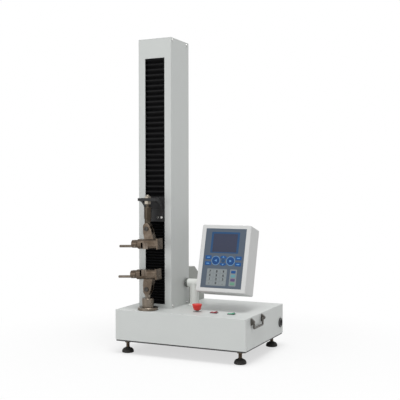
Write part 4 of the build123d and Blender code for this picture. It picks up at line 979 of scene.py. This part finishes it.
def direction_keys():
    """Round keys left and right, a ring of up and down keys round the centre, four corner keys."""
    row = 89
    side_x = 22.7
    inner, outer = 7.6, 14.6
    corner_x, corner_width = 46, 19
    corner_rows = ((92.0, 103.0), (74.8, 85.6))
    panel_shapes(
        "corner_keys",
        [
            rounded_outline(x - corner_width / 2, low, x + corner_width / 2, high, 2.2)
            for x in (-corner_x, corner_x)
            for low, high in corner_rows
        ],
        PRINT_LOW, 0.15, "overlay_blue", pillow=0.35,
    )
    panel_shapes(
        "side_key_rings", [round_outline(x, row, 13.2) for x in (-side_x, side_x)],
        PRINT_LOW, 0.16, "overlay_sky", holes=[round_outline(x, row, 12.0) for x in (-side_x, side_x)],
    )
    panel_shapes(
        "side_keys", [round_outline(x, row, 11.2) for x in (-side_x, side_x)],
        PRINT_LOW, 0.18, "overlay_deep_blue", pillow=0.5,
    )
    panel_shapes(
        "up_down_keys",
        [sector_outline(0, row, inner, outer, start, start + 96) for start in (42, 222)],
        PRINT_LOW, 0.18, "overlay_blue", pillow=0.4,
    )
    panel_shapes(
        "centre_key", [round_outline(0, row, 5.9)], PRINT_LOW, 0.18, "overlay_frame_blue", pillow=0.4
    )
    panel_shapes(
        "direction_marks",
        [arrow_outline((way * 19.6, row), (way * 26.4, row), 3.6) for way in (-1, 1)]
        + [arrow_outline((0, row + way * 9.3), (0, row + way * 13.2), 3.2) for way in (1, -1)],
        0.2, 0.72, "overlay_sky",
    )
    panel_shapes(
        "corner_key_marks",
        [
            rounded_outline(x - 4.5, (low + high) / 2 - 1.2, x + 4.5, (low + high) / 2 + 1.2, 1.1)
            for x in (-corner_x, corner_x)
            for low, high in reversed(corner_rows)
        ],
        0.2, 0.55, "overlay_sky",
    )


direction_keys()


def key_grid_grower():
    """Rows and columns of one pillow-shaped key."""
    tree = Grower(
        "key_grid",
        Columns=("Int", 3),
        Rows=("Int", 4),
        Column_Pitch=("Float", 20.5 * MM),
        Row_Pitch=("Float", 11 * MM),
        Key_Width=("Float", 17 * MM),
        Key_Height=("Float", 8.5 * MM),
        Key_Rise=("Float", 0.35 * MM),
        Corner=("Float", 1.8 * MM),
    )
    outline = tree.node(
        "GeometryNodeCurvePrimitiveQuadrilateral",
        inputs={"Width": tree.given("Key_Width"), "Height": tree.given("Key_Height")},
    )
    rounded = tree.node(
        "GeometryNodeFilletCurve",
        {"mode": "POLY"},
        {"Curve": outline, "Radius": tree.given("Corner"), "Count": 5},
    )
    face = tree.node("GeometryNodeFillCurve", {"mode": "NGONS"}, {"Curve": rounded})
    raised = tree.node(
        "GeometryNodeExtrudeMesh", inputs={"Mesh": face, "Offset Scale": tree.given("Key_Rise")}
    )
    top = tree.node(
        "GeometryNodeExtrudeMesh",
        inputs={"Mesh": raised, "Selection": raised.node.outputs["Top"], "Offset Scale": 0.12 * MM},
    )
    pillow = tree.node(
        "GeometryNodeScaleElements",
        inputs={"Geometry": top, "Selection": top.node.outputs["Top"], "Scale": 0.86},
    )

    def span(count, pitch):
        gaps = tree.math("SUBTRACT", tree.given(count), 1.0)
        return tree.math("MULTIPLY", gaps, tree.given(pitch))

    places = tree.node(
        "GeometryNodeMeshGrid",
        inputs={
            "Size X": span("Columns", "Column_Pitch"),
            "Size Y": span("Rows", "Row_Pitch"),
            "Vertices X": tree.given("Columns"),
            "Vertices Y": tree.given("Rows"),
        },
    )
    keys = tree.node("GeometryNodeInstanceOnPoints", inputs={"Points": places, "Instance": pillow})
    tree.finish(keys, finishes["overlay_key"])
    return tree


def lay_on_panel(piece, x, y):
    """Moves a key drawn round the origin to its place on the panel, in millimetres."""
    just_above = 0.05
    piece.data.transform(panel_frame @ Matrix.Translation((x * MM, y * MM, just_above * MM)))
    smooth_by_angle(piece.data, 40)


def number_and_function_keys():
    """Twelve number keys and four coloured function keys, each group on a paler field."""
    number_pad = rounded_outline(-45.8, 17.6, 15.2, 65.6, 2.5)
    function_strip = rounded_outline(24.3, 18.2, 45.3, 65.8, 2.5)
    panel_shapes("number_pad", [number_pad], PRINT_LOW, 0.1, "overlay_pad")
    panel_shapes("function_strip", [function_strip], PRINT_LOW, 0.1, "overlay_pad")
    key_grid = key_grid_grower()
    lay_on_panel(grow(key_grid, "number_keys", "overlay_key", "control_box"), -15.6, 41.2)
    function_keys = (("blue", 58.2), ("teal", 46.8), ("purple", 35.8), ("green", 25.2))
    for index, (colour, y) in enumerate(function_keys):
        key = grow(
            key_grid, f"function_key_{index + 1}", "overlay_" + colour, "control_box",
            Columns=1, Rows=1, Key_Width=13.5 * MM, Key_Height=7.8 * MM,
        )
        lay_on_panel(key, 34.8, y)


number_and_function_keys()


def number_key_digits():
    """Printed digits of the number keys, in one mesh."""
    first_x, first_y, column_pitch, row_pitch = -36.1, 57.7, 20.5, 11
    print_height = 0.56
    shape = bmesh.new()
    for row, text in enumerate(("789", "456", "123", "-0.")):
        for column, letter in enumerate(text):
            curve = bpy.data.curves.new("digit", "FONT")
            curve.body = letter
            curve.size = 9 * MM
            curve.offset = 0.42 * MM
            curve.extrude = 0.05 * MM
            curve.align_x = "CENTER"
            curve.align_y = "CENTER"
            curve.resolution_u = 3
            writer = bpy.data.objects.new("digit", curve)
            bpy.context.scene.collection.objects.link(writer)
            bpy.context.view_layer.update()
            depsgraph = bpy.context.evaluated_depsgraph_get()
            mesh = bpy.data.meshes.new_from_object(writer.evaluated_get(depsgraph))
            x, y = first_x + column_pitch * column, first_y - row_pitch * row
            mesh.transform(Matrix.Translation((x * MM, y * MM, print_height * MM)))
            shape.from_mesh(mesh)
            bpy.data.objects.remove(writer)
            bpy.data.curves.remove(curve)
            bpy.data.meshes.remove(mesh)
    shape.transform(panel_frame)
    mesh = bpy.data.meshes.new("number_key_digits")
    shape.to_mesh(mesh)
    shape.free()
    add_piece("number_key_digits", mesh, "overlay_ink", "control_box")


number_key_digits()


# Stage, light and camera
def white_floor():
    """Pale floor that keeps the part's shadow and turns pure white away from it."""
    finish = Finish("floor_white", Roughness=0.95, Specular_IOR_Level=0.1)
    finish.surface(colour=srgb(246, 246, 246))
    shadow_reach, white_from = 300 * MM, 850 * MM
    least_white = 0.62
    away = finish.node("ShaderNodeVectorMath", {"operation": "LENGTH"}, {0: finish.place}, output=1)
    whitened = finish.node(
        "ShaderNodeMapRange",
        {"interpolation_type": "SMOOTHSTEP"},
        {"Value": away, "From Min": shadow_reach, "From Max": white_from, "To Min": least_white},
    )
    seen_straight = finish.node("ShaderNodeLightPath", output="Is Camera Ray")
    paper = finish.node("ShaderNodeEmission", inputs={"Color": (1, 1, 1, 1), "Strength": 1.0})
    shaded = Signal(finish, finish.shader.outputs[0])
    shown = finish.node("ShaderNodeMixShader", inputs={0: whitened * seen_straight, 1: shaded, 2: paper})
    finish.feed(finish.tree.nodes["Material Output"].inputs["Surface"], shown)

    mesh = bpy.data.meshes.new("floor")
    shape = bmesh.new()
    floor_half_width, gap_under_feet = 12, 0.5 * MM
    bmesh.ops.create_grid(shape, x_segments=1, y_segments=1, size=floor_half_width)
    shape.to_mesh(mesh)
    shape.free()
    mesh.materials.append(finish.material)
    floor = bpy.data.objects.new("floor", mesh)
    bpy.context.scene.collection.objects.link(floor)
    floor.location.z = -gap_under_feet


white_floor()


def white_room():
    """A room that is plain white where it is seen or reflected, and dimmer where it lights the part."""
    room = bpy.data.worlds.new("studio")
    bpy.context.scene.world = room
    room.use_nodes = True
    shading = Shading(room.node_tree)
    camera_ray, transmission_ray, glossy_ray = (
        shading.node("ShaderNodeLightPath", output=f"Is {kind} Ray")
        for kind in ("Camera", "Transmission", "Glossy")
    )
    seen = shading.math("MAXIMUM", camera_ray, transmission_ray)
    shown = shading.math("MAXIMUM", seen, glossy_ray)
    room_light = 0.48
    strength = shading.node("ShaderNodeMapRange", inputs={"Value": shown, "To Min": room_light})
    background = shading.tree.nodes["Background"]
    shading.feed(background.inputs["Strength"], strength)
    shading.feed(background.inputs["Color"], (1, 1, 1, 1))


white_room()


def soft_light(name, place, aim, size, power):
    """A rectangular lamp in a place, turned towards its aim."""
    lamp = bpy.data.lights.new(name, "AREA")
    lamp.shape = "RECTANGLE"
    lamp.size, lamp.size_y = size
    lamp.energy = power
    holder = bpy.data.objects.new(name, lamp)
    bpy.context.scene.collection.objects.link(holder)
    direction = Vector(aim) - Vector(place)
    holder.rotation_euler = direction.to_track_quat("-Z", "Y").to_euler()
    holder.location = place


soft_light("key_light", place=(-1.4, -3.5, 0.8), aim=(0, 0, 0.35), size=(2.4, 2.0), power=25)
soft_light("top_light", place=(0.4, -0.7, 3.5), aim=(0, 0, 0.1), size=(1.7, 1.7), power=72)
soft_light("fill_light", place=(2.4, -2.2, 1.2), aim=(0, 0, 0.3), size=(1.6, 1.6), power=0.5)


def photo_camera():
    """The camera that was fitted to the photo's straight edges."""
    place = Vector((0.9382, -2.0050, 0.4765))
    turn, pitch, roll = 0.4388277, -0.0182682, -0.0012482
    focal_pixels, image_width_pixels = 759.0911, 400
    ahead = Vector(
        (-math.sin(turn) * math.cos(pitch), math.cos(turn) * math.cos(pitch), math.sin(pitch))
    )
    level_right = Vector((math.cos(turn), math.sin(turn), 0))
    level_up = level_right.cross(ahead)
    right = level_right * math.cos(roll) + level_up * math.sin(roll)
    up = level_up * math.cos(roll) - level_right * math.sin(roll)
    lens = bpy.data.cameras.new("photo_camera")
    lens.sensor_width = 36
    lens.lens = focal_pixels / image_width_pixels * lens.sensor_width
    lens.clip_start = 0.05
    camera = bpy.data.objects.new("photo_camera", lens)
    bpy.context.scene.collection.objects.link(camera)
    camera.matrix_world = Matrix.Translation(place) @ Matrix(
        (
            (right.x, up.x, -ahead.x, 0),
            (right.y, up.y, -ahead.y, 0),
            (right.z, up.z, -ahead.z, 0),
            (0, 0, 0, 1),
        )
    )
    bpy.context.scene.camera = camera


photo_camera()
bpy.context.scene.view_settings.view_transform = "Standard"
